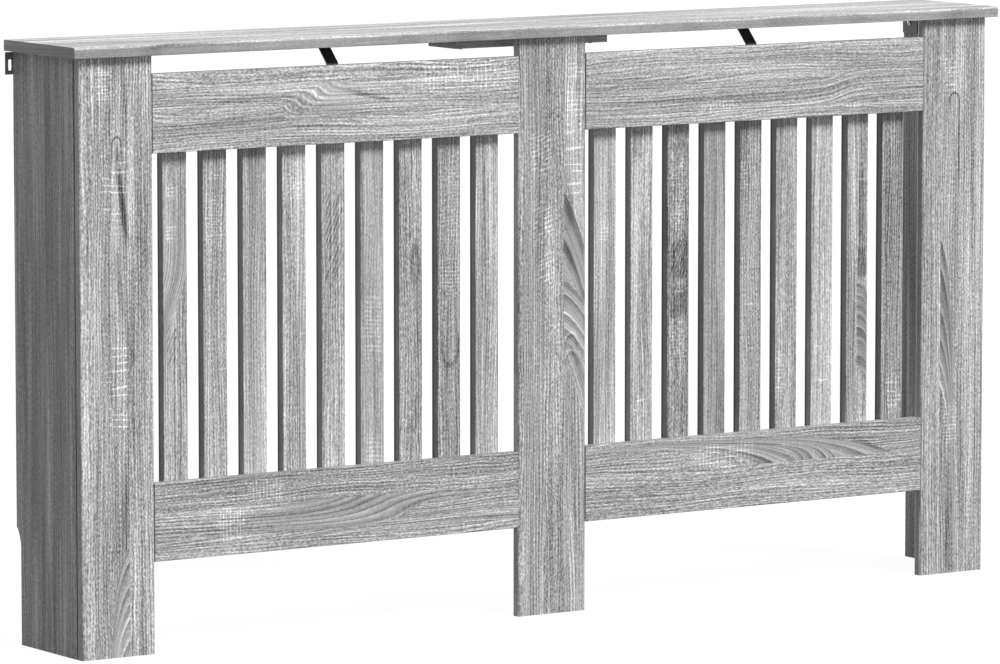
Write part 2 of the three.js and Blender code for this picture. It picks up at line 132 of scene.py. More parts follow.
class NodeSheet:
    """A node tree with a short call for each kind of node that the finishes use."""

    def __init__(self, tree: Tree) -> None:
        """Keeps the tree that the nodes go into."""
        self.tree = tree

    def node(self, kind: str, **settings: object) -> bpy.types.Node:
        """Adds a node and sets its properties.

        Args:
            kind: The node's type name.
            settings: The properties by name.

        Returns:
            The node.
        """
        made = self.tree.nodes.new(kind)
        for name, value in settings.items():
            setattr(made, name, value)
        return made

    def feed(self, target: Socket, value: object) -> None:
        """Links a value into a socket, or writes a plain number, vector or colour on it.

        Args:
            target: The input socket.
            value: What goes into it.
        """
        if isinstance(value, Value):
            self.tree.links.new(value.socket, target)
        else:
            target.default_value = value

    def add(self, kind: str, inputs: dict, output: str | int = 0, **settings: object) -> Value:
        """Adds a node, feeds it and gives one of its outputs.

        Args:
            kind: The node's type name.
            inputs: What goes into it, by the names or numbers of its inputs.
            output: Which of its outputs to give.
            settings: Properties to set on the node.

        Returns:
            The output's value.
        """
        made = self.node(kind, **settings)
        for key, value in inputs.items():
            self.feed(made.inputs[key], value)
        return Value(self, made.outputs[output])

    def dot(self, first: Value, second: Value) -> Value:
        """Gives the dot product of two vectors."""
        return self.add("ShaderNodeVectorMath", {0: first, 1: second}, "Value", operation="DOT_PRODUCT")

    def vector(self, *parts: object) -> Value:
        """Joins three numbers into a vector."""
        return self.add("ShaderNodeCombineXYZ", dict(enumerate(parts)))

    def blend(self, share: Value, low: object, high: object) -> Value:
        """Mixes two numbers by a share from 0 to 1."""
        return self.add("ShaderNodeMix", {0: share, 2: low, 3: high}, data_type="FLOAT")

    def step(self, value: Value, low: object, high: object) -> Value:
        """Rises smoothly from 0 to 1 as the value goes from low to high."""
        ends = {"Value": value, "From Min": low, "From Max": high}
        return self.add("ShaderNodeMapRange", ends, interpolation_type="SMOOTHSTEP")

    def noise(self, place: Value, detail: float = 0.0) -> Value:
        """Gives a soft noise, about 0.5 on average."""
        return self.add("ShaderNodeTexNoise", {"Vector": place, "Scale": 1.0, "Detail": detail}, "Fac")

    def random(self, place: Value, dimensions: str) -> Value:
        """Gives a random number from 0 to 1 that a place alone decides."""
        return self.add("ShaderNodeTexWhiteNoise", {"Vector": place}, "Value", noise_dimensions=dimensions)

    def signed(self, value: Value, gain: object) -> Value:
        """Turns a value round 0.5 into one round 0 and multiplies it by a gain."""
        return (value - 0.5) * gain

    def named(self, sockets: object) -> SimpleNamespace:
        """Gives the values of a node's named outputs by name."""
        return SimpleNamespace(**{socket.name: Value(self, socket) for socket in sockets if socket.name})

    def placed(self, group: Tree, values: dict[str, object]) -> SimpleNamespace:
        """Places a node group and feeds each of its inputs with the value of the same name.

        Args:
            group: The shared node group.
            values: Values and numbers by name, of which some may not be asked for.

        Returns:
            The group's outputs by name.
        """
        made = self.node("ShaderNodeGroup", node_tree=group)
        for socket in list(made.inputs):
            self.feed(socket, values[socket.name])
        return self.named(made.outputs)

    def end(self, **outputs: Value) -> None:
        """Gives a group its named outputs.

        Args:
            outputs: The values by name.
        """
        for name in outputs:
            self.tree.interface.new_socket(name=name, in_out="OUTPUT", socket_type=SocketKind.NUMBER.value)
        result = self.node("NodeGroupOutput")
        for name, value in outputs.items():
            self.feed(result.inputs[name], value)


# What the decor is made of. Lengths are in metres; tones are as the eye sees them, from 0 to 1


@dataclass(frozen=True)
class Streak:
    """One kind of fibre streak: its width, its length and its strength on a smooth and on a rough stave."""

    width: float
    length: float
    smooth: float
    rough: float


@dataclass(frozen=True)
class SawLines:
    """One set of saw lines: how they lie, how far apart, how thin, how wandering and how broken they are."""

    across_grain: bool
    spacing: float
    strength: float
    thinness: float = 0.0
    wander: float = 1.2
    lean: float = 0.0
    dash: float = 8 * MM
    gap: float = 0.38


# Board axes: how far a face turns before it counts as a sawn end or the broad face, and the rear line.
END_FACING = 0.7
FACE_TURN = (0.15, 0.45)
REAR_LINE = (7 * MM, 3 * MM)

# Staves, and the small number that keeps a stave's own edge from rounding down.
STAVE_SHIFT = 37.0
STAVE_TONE = 0.05
STAVE_ROUNDING = 0.0001

# Growth rings: the sizes of their waves across, along and into the grain, and the tones across a ring.
WAVE_SIZE = (0.060, 0.260, 0.300)
RIPPLE_SIZE = (0.016, 0.034, 0.060)
RING_PROFILE = (
    (0.0, 0.06), (0.04, 0.30), (0.12, 0.76), (0.24, 0.55), (0.50, 0.48), (0.78, 0.27), (1.0, 0.06),
)
EYE_SHOWN = (0.05, 0.4)

# Figures: how soft their outlines are, how even their rings are and how far they take part in the waves.
FIGURE_LIMIT = 0.02
FIGURE_WANDER = 0.50
EDGE_SOFT = (-0.0003, 0.0003)
FLAME_TIP_SOFT = (-0.0005, 0.0015)
FLAME_NARROWEST = 0.02
FLAME_SPAN_SOFT = 0.1
FLAME_LENGTH_SOFT = 0.2
FLAME_UNEVEN = 0.9
FLAME_UNEVEN_SIZE = 1.6
FLAME_START = 1.2
FLAME_FADE = -0.75
SWEEP_SPAN_SOFT = (-0.0003, 0.0010)
SWEEP_FAR = 0.45
ARCH_TOP = 0.1

# Fibre: its streaks, of which those shorter than the reach take the board's slant.
FINE_STREAKS = (
    Streak(1.5 * MM, 4.0 * MM, 0.48, 0.76),
    Streak(1.6 * MM, 22 * MM, 0.20, 0.26),
    Streak(1.9 * MM, 220 * MM, 0.34, 0.27),
)
BAND_STREAKS = (
    Streak(5.0 * MM, 230 * MM, 0.14, 0.10),
    Streak(10 * MM, 280 * MM, 0.26, 0.22),
    Streak(22 * MM, 340 * MM, 0.24, 0.22),
)
SLANT_REACH = 40 * MM
CALM_FROM = (0.6, 1.0)

# Pores.
PORE_SPACING = 4.5 * MM
PORE_LENGTH = 60 * MM
PORE_WANDER = 2.0
PORE_WANDER_SIZE = (20 * MM, 200 * MM)
PORE_BREAKS = (0.25, 0.65)

# Saw lines, the cells in which they are scattered, and the kinds of hatching made of them.
SAW_WANDER_SIZE = 26 * MM
SAW_WANDER_WIDE = 130 * MM
SAW_GAP_SOFT = 0.15
CELL_LENGTH = 46 * MM
CELL_SOFT_ACROSS = 0.12
CELL_SOFT_ALONG = 0.22
CELL_SHIFT = 0.37
HATCH = (
    SawLines(True, 5.2 * MM, 0.17, thinness=0.0, wander=1.0, dash=9 * MM, gap=0.34),
    SawLines(False, 5.4 * MM, 0.11, thinness=0.0, wander=0.9, dash=14 * MM),
)
DENSE_HATCH = (
    SawLines(True, 4.4 * MM, 0.17, thinness=-0.3, wander=0.8, dash=14 * MM, gap=0.30),
    SawLines(False, 4.6 * MM, 0.12, thinness=-0.2, wander=0.6, dash=18 * MM, gap=0.3),
)
FAINT_HATCH = (
    SawLines(True, 4.8 * MM, 0.11, thinness=-0.2, wander=1.6, dash=8 * MM, gap=0.36),
    SawLines(False, 4.8 * MM, 0.09, thinness=-0.2, wander=1.2, dash=10 * MM, gap=0.36),
)
UPRIGHT_HATCH = (
    SawLines(False, 7.5 * MM, 0.17, thinness=0.3, wander=0.9, dash=30 * MM, gap=0.36),
    SawLines(True, 6.5 * MM, 0.16, thinness=0.1, wander=0.9, dash=16 * MM, gap=0.36),
)
SPARSE_CUTS = (SawLines(True, 13 * MM, 0.22, thinness=0.66, wander=2.4, dash=26 * MM, gap=0.36),)
FINE_RIPPLES = (SawLines(True, 6.0 * MM, 0.11, thinness=-0.6, wander=1.0, lean=0.10, dash=16 * MM, gap=0.30),)
STROKES = (SawLines(False, 5.6 * MM, -0.20, thinness=-0.2, wander=0.8, lean=-0.45, dash=24 * MM, gap=0.36),)
RIPPLES = (SawLines(True, 6.2 * MM, 0.19, thinness=-0.5, wander=0.9, lean=-0.30, dash=9 * MM, gap=0.38),)

# Greys: the power that turns a seen tone into a colour, the darkest tone, and how roughness follows the tone.
EYE_POWER = 2.2
DARKEST_TONE = 0.12
ROUGH_MIDDLE = 0.50
ROUGH_SLOPE = -0.15


class GroupShelf:
    """The shared node groups, each built once, the first time that a finish asks for it."""

    def __init__(self) -> None:
        """Starts with an empty shelf."""
        self.made: dict[str, Tree] = {}

    def get(self, name: str) -> Tree:
        """Gives a group, and builds it first if it isn't there yet.

        Args:
            name: The group's name.

        Returns:
            The group's tree.
        """
        if name not in self.made:
            getattr(self, "build_" + name)()
        return self.made[name]

    def started(self, name: str, numbers: str, vectors: str = "") -> tuple[NodeSheet, SimpleNamespace]:
        """Starts a group with its named inputs and puts it on the shelf.

        Args:
            name: The group's name.
            numbers: The names of the inputs that are numbers, with spaces between.
            vectors: The names of the inputs that are vectors.

        Returns:
            The sheet to draw nodes on and the inputs by name.
        """
        tree = self.made[name] = bpy.data.node_groups.new(name, "ShaderNodeTree")
        for kind, labels in ((SocketKind.VECTOR, vectors), (SocketKind.NUMBER, numbers)):
            for label in labels.split():
                tree.interface.new_socket(name=label, in_out="INPUT", socket_type=kind.value)
        sheet = NodeSheet(tree)
        return sheet, sheet.named(sheet.node("NodeGroupInput").outputs)

    def build_board_axes(self) -> None:
        """Turns a place on a board into its distance across, along and into the grain.

        On a sawn end the decor runs the long way of that end, so there the three distances change places.
        The rear line is 1 over the last few millimetres before a board's rear face, where the decor is
        darkened.
        """
        vectors = "position normal across_axis along_axis depth_axis"
        sheet, given = self.started("board_axes", "seed rear", vectors)
        across = sheet.dot(given.position, given.across_axis)
        along = sheet.dot(given.position, given.along_axis)
        depth = sheet.dot(given.position, given.depth_axis)
        on_end = abs(sheet.dot(given.normal, given.along_axis)) > END_FACING
        sheet.end(
            across=sheet.blend(on_end, across, depth),
            along=sheet.blend(on_end, along, across),
            depth=sheet.blend(on_end, depth, along) + given.seed,
            face=sheet.step(abs(sheet.dot(given.normal, given.depth_axis)), *FACE_TURN),
            rear_line=sheet.step(given.rear - depth, *REAR_LINE),
        )

    def build_staves(self) -> None:
        """Splits a board into staves, each with its own place in the print and its own character.

        A stave's number is the distance across, counted in stave widths from the start and rounded down.
        Random numbers drawn from it shift the stave's decor, make it paler or darker, and say how wavy and
        how rough it is.
        """
        sheet, given = self.started("staves", "across depth stave_start stave_width")
        count = (given.across - given.stave_start) / given.stave_width
        stave = (count + STAVE_ROUNDING).floor()
        rough = sheet.random(sheet.vector(stave, given.depth.floor(), 0.0), "2D")
        shift = sheet.add("ShaderNodeSeparateColor", {0: rough.twin("Color")})
        depth = given.depth + shift * STAVE_SHIFT
        tone = sheet.signed(shift.twin(1), 1.0)
        sheet.end(depth=depth, tone=tone, wavy=shift.twin(2), rough=rough)

    def build_growth_field(self) -> None:
        """The growth-ring field: the distance across the grain, bent by long waves and short ripples."""
        sheet, given = self.started("growth_field", "across along depth wave_height ripple_height")
        bent = given.across
        for size, gain in ((WAVE_SIZE, given.wave_height), (RIPPLE_SIZE, given.ripple_height)):
            place = sheet.vector(given.across / size[0], given.along / size[1], given.depth / size[2])
            bent = bent + sheet.signed(sheet.noise(place), gain)
        sheet.end(field=bent)

    def build_growth_eye(self) -> None:
        """A long narrow hill in the growth rings, which closes them into an eye with an arch at each end.

        Its height is exp(-(u * u + v * v)), where u and v are the distances across and along from its middle
        as shares of its half width and half length.
        """
        names = "across along centre_across centre_along half_width half_length height field emphasis"
        sheet, given = self.started("growth_eye", names)
        u = (given.across - given.centre_across) / given.half_width
        v = (given.along - given.centre_along) / given.half_length
        hill = (-(u * u + v * v)).exponent()
        bent = hill.times_add(given.height, given.field)
        sheet.end(field=bent, emphasis=given.emphasis.most(sheet.step(hill, *EYE_SHOWN)))

    @staticmethod
    def end_figure(
        sheet: NodeSheet, given: SimpleNamespace, inside: Value, strength: Value, bent: Value, rings: Value
    ) -> None:
        """Ends the group of a figure: its own field and rings inside its outline, and the rest as it was.

        Args:
            sheet: The sheet to draw nodes on.
            given: The group's inputs, with the field, rings and emphasis from outside the figure.
            inside: 1 inside the figure and 0 outside.
            strength: How plainly the figure's rings show.
            bent: The figure's distance across the grain.
            rings: The figure's count of rings.
        """
        choice = inside > FIGURE_LIMIT
        sheet.end(
            field=sheet.blend(choice, given.field, bent),
            rings=sheet.blend(choice, given.rings, rings),
            emphasis=sheet.blend(choice, given.emphasis, inside * strength),
        )

    def build_growth_flame(self) -> None:
        """Half a flame figure: rings that leave a straight edge one by one and sweep away along the grain.

        With u the distance from the edge as a share of the figure's width, a ring has run
        run * u ** power / (1 - u) along the grain since its tip, so it ends along the grain.
        """
        names = "across along edge tip width span length run power spacing pitch side way strength"
        sheet, given = self.started("growth_flame", names + " wander field rings emphasis")
        depth = (given.across - given.edge) * given.side
        share = (depth + given.wander).math("DIVIDE", given.width, clamp=True)
        run = share**given.power / (1.0 - share).most(FLAME_NARROWEST) * given.run
        past = (given.along - given.tip) * given.way - run
        inside = sheet.step(depth, *EDGE_SOFT) * sheet.step(past, *FLAME_TIP_SOFT)
        inside = inside * sheet.step(given.span - depth, 0.0, given.span * FLAME_SPAN_SOFT)
        inside = inside * sheet.step(given.length - past, 0.0, given.length * FLAME_LENGTH_SOFT)
        uneven = sheet.noise(sheet.vector(past / (given.spacing * FLAME_UNEVEN_SIZE), 0.0, 0.0))
        rings = -past / given.spacing + sheet.signed(uneven, FLAME_UNEVEN)
        strength = given.strength * share.times_add(FLAME_FADE, FLAME_START)
        self.end_figure(sheet, given, inside, strength, rings * given.pitch, rings)

    def build_growth_sweep(self) -> None:
        """A bundle of rings along a straight edge that swings away from it in one S-shaped bend.

        The rings are shifted by height / (1 + exp(-v / length)), where v is the distance along the grain past
        the middle of the bend, plus the lean times the distance from the edge.
        """
        names = "across along edge centre lean length height span pitch side way strength reach"
        sheet, given = self.started("growth_sweep", names + " wander field rings emphasis")
        depth = (given.across - given.edge) * given.side
        past = (given.along - given.centre) * given.way
        falling = (-(past + depth * given.lean) / given.length).exponent()
        bent = depth - given.height / (falling + 1.0) + given.wander
        inside = sheet.step(depth, *EDGE_SOFT) * sheet.step(given.span - bent, *SWEEP_SPAN_SOFT)
        near = past / given.reach
        inside = inside * sheet.blend((-(near * near)).exponent(), SWEEP_FAR, 1.0)
        self.end_figure(sheet, given, inside, given.strength, bent, bent / given.pitch)

    def build_growth_arch(self) -> None:
        """A dark arched line, where a ring turns round: the upper part of an ellipse's outline.

        With r the distance from the middle in half sizes, the line is exp(-((r - 1) / thinness) ** 2), and it
        fades out below the middle.
        """
        names = "across along centre_across centre_along half_width half_length thinness legs"
        sheet, given = self.started("growth_arch", names)
        u = (given.across - given.centre_across) / given.half_width
        v = (given.along - given.centre_along) / given.half_length
        upper = v.most(0.0)
        off = ((u * u + upper * upper).root() - 1.0) / given.thinness
        sheet.end(line=(-(off * off)).exponent() * sheet.step(v, -given.legs, ARCH_TOP))

    def build_fibre_streaks(self) -> None:
        """Fibre streaks that follow the rings: fine short dashes and lines, and wide soft bands."""
        sheet, given = self.started("fibre_streaks", "field along depth rough slant")
        slanted = given.along.times_add(given.slant, given.field)
        sums: dict[str, Value] = {}
        for label, streaks in (("fine", FINE_STREAKS), ("bands", BAND_STREAKS)):
            for streak in streaks:
                across = slanted if streak.length < SLANT_REACH else given.field
                width, length = streak.width, streak.length
                place = sheet.vector(across / width, given.along / length, given.depth / width)
                gain = sheet.blend(given.rough, streak.smooth, streak.rough)
                part = sheet.signed(sheet.noise(place), gain)
                sums[label] = sums[label] + part if label in sums else part
        sheet.end(**sums)

    def build_pore_lines(self) -> None:
        """Thin dark pores at nearly even spacing: a sine across the grain that wanders and is broken."""
        sheet, given = self.started("pore_lines", "field along depth strength")
        wide, long = PORE_WANDER_SIZE
        wander = sheet.vector(given.field / wide, given.along / long, given.depth)
        count = given.field / PORE_SPACING
        phase = count + sheet.signed(sheet.noise(wander), PORE_WANDER)
        breaks = sheet.noise(sheet.vector(count, given.along / PORE_LENGTH, given.depth))
        held = sheet.step(breaks, *PORE_BREAKS) * given.strength
        sheet.end(tone=(phase * math.tau).sine() * held)

    def build_ring_lines(self) -> None:
        """Growth rings: at each whole number a thin dark line beside a pale one, fading to mid grey."""
        sheet, given = self.started("ring_lines", "rings strength")
        profile = sheet.add("ShaderNodeValToRGB", {0: given.rings.fraction()})
        points = profile.socket.node.color_ramp.elements
        while len(points) < len(RING_PROFILE):
            points.new(0.5)
        for point, (place, grey) in zip(points, RING_PROFILE):
            point.position = place
            point.color = (grey, grey, grey, 1.0)
        sheet.end(tone=sheet.signed(profile, given.strength))

    def build_soft_patch(self) -> None:
        """A patch on the board: 1 inside a leaning rectangle with soft edges, and 0 outside."""
        names = "across along centre_across centre_along half_width half_length lean soft"
        sheet, given = self.started("soft_patch", names)
        off_along = given.along - given.centre_along
        off_across = given.across - given.centre_across - off_along * given.lean
        across, along = (
            sheet.step(half - abs(off), 0.0, half * given.soft)
            for off, half in ((off_across, given.half_width), (off_along, given.half_length))
        )
        sheet.end(inside=across * along)

    def build_saw_lines(self) -> None:
        """Broken lines that a saw has left: a wandering wave along the run, thinned and cut into dashes."""
        sheet, given = self.started("saw_lines", "run other depth spacing thinness wander lean dash gap")
        run = given.other.times_add(given.lean, given.run)
        wander = sheet.vector(given.other / SAW_WANDER_WIDE, run / SAW_WANDER_SIZE, given.depth)
        count = run / given.spacing
        phase = count + sheet.signed(sheet.noise(wander), given.wander)
        line = sheet.step((phase * math.tau).sine(), given.thinness, 1.0)
        breaks = sheet.noise(sheet.vector(given.other / given.dash, count, given.depth))
        sheet.end(lines=line * sheet.step(breaks, given.gap, given.gap + SAW_GAP_SOFT))

    def build_sawn_cells(self) -> None:
        """Cells over the board that are sawn rough: each has a random number, and the lowest are chosen."""
        sheet, given = self.started("sawn_cells", "across along depth stave_start stave_width scatter")
        count = (given.across - given.stave_start) / given.stave_width
        rows = given.along / CELL_LENGTH + count.floor() * CELL_SHIFT
        cell = sheet.vector(count.floor(), rows.floor(), given.depth.floor())
        chosen = sheet.random(cell, "3D") < given.scatter
        for share, soft in ((count, CELL_SOFT_ACROSS), (rows, CELL_SOFT_ALONG)):
            chosen = chosen * sheet.step(share.fraction().fold(0.5), 0.0, soft)
        sheet.end(inside=chosen)

    def build_grey_decor(self) -> None:
        """Turns a tone as the eye sees it into the decor's grey, its roughness and its height."""
        sheet, given = self.started("grey_decor", "tone level relief")
        seen = (given.level + given.tone).most(DARKEST_TONE)
        rough = given.tone.times_add(ROUGH_SLOPE, ROUGH_MIDDLE)
        sheet.end(grey=seen**EYE_POWER, roughness=rough, height=given.tone * given.relief)

    def build_fine_grain(self) -> None:
        """An even fine grain, as on powder coating and plated steel: a value round 0.5."""
        sheet, given = self.started("fine_grain", "size", "position")
        inputs = {0: given.position, "Scale": 1.0 / given.size}
        scaled = sheet.add("ShaderNodeVectorMath", inputs, operation="SCALE")
        sheet.end(grain=sheet.noise(scaled, detail=2.0))


# The boards' decor


class Grain(Enum):
    """How the grain lies on a board: the axes across it, along it and into the board."""

    UPRIGHT_FRONT = ((1, 0, 0), (0, 0, 1), (0, 1, 0))
    UPRIGHT_SIDE = ((0, 1, 0), (0, 0, 1), (1, 0, 0))
    LENGTHWISE_FRONT = ((0, 0, 1), (1, 0, 0), (0, 1, 0))
    LENGTHWISE_FLAT = ((0, 1, 0), (1, 0, 0), (0, 0, 1))


@dataclass(frozen=True)
class Spot:
    """A place on a board: its middle and its half sizes, across and along the grain."""

    centre_across: float
    centre_along: float
    half_width: float
    half_length: float


@dataclass(frozen=True)
class Eye(Spot):
    """A long narrow hill in the growth rings."""

    height: float


@dataclass(frozen=True)
class Arch(Spot):
    """A dark arched line: how dark and how thin it is and how far its legs reach down."""

    strength: float = 0.26
    thinness: float = 0.16
    legs: float = 1.0


@dataclass(frozen=True)
class Patch(Spot):
    """A leaning patch of the board. It holds saw lines, or a stain that is darker or paler than the rest."""

    lines: tuple[SawLines, ...] = ()
    stain: float = 0.0
    lean: float = 0.0
    soft: float = 0.45


def stain(*spot: float, tone: float, lean: float = 0.0, soft: float = 0.9) -> Patch:
    """Gives a patch without lines that is only darker or paler than the rest.

    Args:
        spot: Its middle and its half sizes.
        tone: How much paler it is, below 0 if darker.
        lean: How far it leans.
        soft: How much of it its soft edges take up.

    Returns:
        The patch.
    """
    return Patch(*spot, stain=tone, lean=lean, soft=soft)


@dataclass(frozen=True)
class Flame:
    """Half a flame figure that leaves a straight edge.

    Its first tip, its width, the width and length that show, how far a ring runs along the grain, the power
    that shapes its tip, the spacing of the tips, and which way it opens.
    """

    edge: float
    tip: float
    width: float
    span: float
    length: float
    run: float
    power: float
    spacing: float
    side: int
    way: int = -1
    strength: float = 1.0

    def ahead(self, share: float) -> float:
        """Gives how far a ring has run along the grain at a share of the figure's width."""
        return share**self.power / (1 - share) * self.run

    @property
    def pitch(self) -> float:
        """How far apart two rings are across the grain, halfway over the figure.

        Returns:
            That distance, from the slope of the rings there.
        """
        share, small = 0.5 * self.span / self.width, 0.01
        slope = (self.ahead(share + small) - self.ahead(share)) / (small * self.width)
        return self.spacing / slope


@dataclass(frozen=True)
class Sweep:
    """A bundle of rings along an edge with one S-shaped bend.

    Where it is, how its bend leans, how long and how high the bend is, how wide the bundle is, how far apart
    its rings are, which way it opens, and how far from the bend it stays plain.
    """

    edge: float
    centre: float
    lean: float
    length: float
    height: float
    span: float
    pitch: float
    side: int
    way: int = -1
    strength: float = 1.0
    reach: float = 0.16


@dataclass(frozen=True)
class OakBoard:
    """One board's decor: how its grain lies, its place in the print, its staves and what stands out on it."""

    node: str
    grain: Grain
    seed: float
    tone: float = 0.0
    stave_start: float = 0.0
    stave_width: float = 27 * MM
    eyes: tuple[Eye, ...] = ()
    arches: tuple[Arch, ...] = ()
    flames: tuple[Flame, ...] = ()
    sweeps: tuple[Sweep, ...] = ()
    patches: tuple[Patch, ...] = ()
    scatter: float = 0.0
    bands: float = 1.0
    fine: float = 1.0
    rough: float = 0.6
    wavy: float = 1.0
    slant: float = 0.0
    # Painted shade on the board's edges and ends, added where the surface turns from the broad face; above 0
    # it is painted light.
    edge: float = -0.04
    rear_line: float = 0.0


class OakPainter:
    """Draws the nodes of one board's decor, one step at a time."""

    def __init__(self, shelf: GroupShelf, sheet: NodeSheet, board: OakBoard, finish: "OakFinish") -> None:
        """Keeps what the steps share, and works out the distances that they all read.

        Args:
            shelf: The shared groups.
            sheet: The sheet of the board's material.
            board: The board's own decor.
            finish: What the decor of all the boards has in common.
        """
        self.shelf, self.sheet, self.board, self.finish = shelf, sheet, board, finish
        self.distances: dict[str, Value] = {}
        position = sheet.add("ShaderNodeTexCoord", {}, "Object")
        axes = dict(zip(("across_axis", "along_axis", "depth_axis"), board.grain.value))
        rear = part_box(board.node)[1].dot(Vector(axes["depth_axis"]))
        axes |= {"position": position, "normal": position.twin("Normal"), "rear": rear}
        place = self.put("board_axes", board, **axes)
        self.face, self.rear_line = place.face, place.rear_line
        self.distances = {"across": place.across, "along": place.along, "depth": place.depth}
        self.staves = self.put("staves", board)
        self.distances["depth"] = self.staves.depth

    def put(self, group: str, source: object | None = None, **values: object) -> SimpleNamespace:
        """Places a shared group, whose inputs find the distances over the board by themselves.

        Args:
            group: The group's name.
            source: What has fields of the same names as the group's inputs.
            values: The other inputs by name.

        Returns:
            The group's outputs by name.
        """
        fields = vars(source) if source else {}
        return self.sheet.placed(self.shelf.get(group), self.distances | fields | values)

    def sawn(self, lines: SawLines) -> Value:
        """Places one set of saw lines.

        Args:
            lines: How they lie and how strong they are.

        Returns:
            Their tone.
        """
        run, other = self.distances["across"], self.distances["along"]
        if lines.across_grain:
            run, other = other, run
        return self.put("saw_lines", lines, run=run, other=other).lines * lines.strength

    def growth(self) -> tuple[Value, Value, Value]:
        """Works out the growth rings with the eyes, flames and sweeps.

        Returns:
            The bent distance across the grain, the count of rings and how plainly they show.
        """
        sheet, finish, board, staves = self.sheet, self.finish, self.board, self.staves
        bent = self.put(
            "growth_field",
            wave_height=sheet.blend(staves.wavy, finish.wave_low * board.wavy, finish.wave_high * board.wavy),
            ripple_height=sheet.blend(staves.rough, finish.ripple_low, finish.ripple_high),
        ).field
        emphasis = sheet.blend(staves.wavy, finish.ring_low, finish.ring_high)
        wander = (bent - self.distances["across"]) * FIGURE_WANDER
        for eye in board.eyes:
            drawn = self.put("growth_eye", eye, field=bent, emphasis=emphasis)
            bent, emphasis = drawn.field, drawn.emphasis
        rings = bent / finish.ring_spacing + board.seed
        for group, figures in (("growth_flame", board.flames), ("growth_sweep", board.sweeps)):
            for figure in figures:
                outside = {"field": bent, "rings": rings, "emphasis": emphasis}
                drawn = self.put(group, figure, pitch=figure.pitch, wander=wander, **outside)
                bent, rings, emphasis = drawn.field, drawn.rings, drawn.emphasis
        return bent, rings, emphasis

    def marks(self) -> Value:
        """Adds up what stands out on the board: the scattered rough cells, the patches and the arches.

        Returns:
            Their tone, round 0.
        """
        total = self.put("sawn_cells", self.board).inside * (self.sawn(HATCH[0]) + self.sawn(HATCH[1]))
        for patch in self.board.patches:
            inside = self.put("soft_patch", patch).inside
            if patch.stain:
                total = inside.times_add(patch.stain, total)
            for lines in patch.lines:
                total = inside.times_add(self.sawn(lines), total)
        for arch in self.board.arches:
            total = self.put("growth_arch", arch).line.times_add(-arch.strength, total)
        return total

    def tone(self) -> Value:
        """Adds up the rings, the fibre, the staves and the marks, then the painted shade on the edges and the
        rear line.

        Returns:
            The decor's tone, round 0.
        """
        sheet, finish, board, staves = self.sheet, self.finish, self.board, self.staves
        bent, rings, emphasis = self.growth()
        fibre = self.put("fibre_streaks", field=bent, rough=staves.rough * board.rough, slant=-board.slant)
        pores = self.put("pore_lines", field=bent, strength=finish.pore_strength).tone
        calm = 1.0 - sheet.step(emphasis, *CALM_FROM) * finish.flame_calm
        fine = (fibre.fine + pores) * (calm * board.fine)
        drawn = self.put("ring_lines", rings=rings, strength=emphasis * finish.ring_strength).tone
        total = fibre.bands.times_add(board.bands, fine + drawn)
        total = staves.tone.times_add(STAVE_TONE, total) + self.marks()
        total = total * sheet.blend(self.face, finish.edge_contrast, 1.0)
        # Painted shade on the edges and ends, with the rear line's dark strip beside the rear face.
        edge = self.rear_line.times_add(board.rear_line, board.edge) if board.rear_line else board.edge
        return total + sheet.blend(self.face, edge, 0.0)


# The finishes


class Coat:
    """A new material, with the sheet of its nodes and the inputs of its shader."""

    def __init__(self, name: str) -> None:
        """Makes the material.

        Args:
            name: Its name.
        """
        self.made = bpy.data.materials.new(name)
        self.made.use_nodes = True
        self.sheet = NodeSheet(self.made.node_tree)
        self.inputs = self.made.node_tree.nodes["Principled BSDF"].inputs

    def paint(self, values: dict[str, object]) -> None:
        """Feeds the shader's inputs by name."""
        for name, value in values.items():
            self.sheet.feed(self.inputs[name], value)

    def emboss(self, height: Value, strength: float, distance: float) -> None:
        """Raises the surface by a height, which is a share of the distance."""
        inputs = {"Strength": strength, "Distance": distance, "Height": height}
        self.paint({"Normal": self.sheet.add("ShaderNodeBump", inputs)})


@dataclass(frozen=True)
class OakFinish:
    """The grey rough-sawn oak decor, in tones as the eye sees them, from 0 to 1."""

    level: float = 0.668
    wave_low: float = 0.006
    wave_high: float = 0.032
    ripple_low: float = 0.001
    ripple_high: float = 0.003
    ring_spacing: float = 0.0095
    ring_strength: float = 0.30
    ring_low: float = 0.08
    ring_high: float = 0.45
    flame_calm: float = 0.60
    pore_strength: float = 0.135
    edge_contrast: float = 0.40
    relief: float = 0.35
    bump_distance: float = 0.0003
    bump_strength: float = 0.4
    gloss: float = 0.35

    def material(self, shelf: GroupShelf, board: OakBoard) -> bpy.types.Material:
        """Makes a board's own material.

        Args:
            shelf: The shared groups.
            board: The board's own decor.

        Returns:
            The material.
        """
        coat = Coat("grey_oak_" + board.node)
        painter = OakPainter(shelf, coat.sheet, board, self)
        decor = painter.put("grey_decor", self, tone=painter.tone(), level=self.level + board.tone)
        coat.paint({"Specular IOR Level": self.gloss, "Base Color": decor.grey, "Roughness": decor.roughness})
        coat.emboss(decor.height, self.bump_strength, self.bump_distance)
        return coat.made


@dataclass(frozen=True)
class MetalFinish:
    """A steel finish: its grey, its roughness and the fine grain of its coat."""

    name: str
    grey: float
    metallic: float
    roughness: float
    grain_size: float
    grain_depth: float
    shade: float
    shade_size: float = 14.0
    roughness_swing: float = 0.25
    bump_strength: float = 0.4

    def material(self, shelf: GroupShelf) -> bpy.types.Material:
        """Makes the material.

        Args:
            shelf: The shared groups.

        Returns:
            The material.
        """
        coat = Coat(self.name)
        sheet = coat.sheet
        place = {"position": sheet.add("ShaderNodeTexCoord", {}, "Object")}
        fine, broad = (
            sheet.placed(shelf.get("fine_grain"), place | {"size": self.grain_size * times}).grain
            for times in (1.0, self.shade_size)
        )
        grey = sheet.signed(broad, self.shade * self.grey) + self.grey
        rough = sheet.signed(fine, self.roughness_swing) + self.roughness
        coat.paint({"Metallic": self.metallic, "Base Color": grey, "Roughness": rough})
        coat.emboss(fine, self.bump_strength, self.grain_depth)
        return coat.made


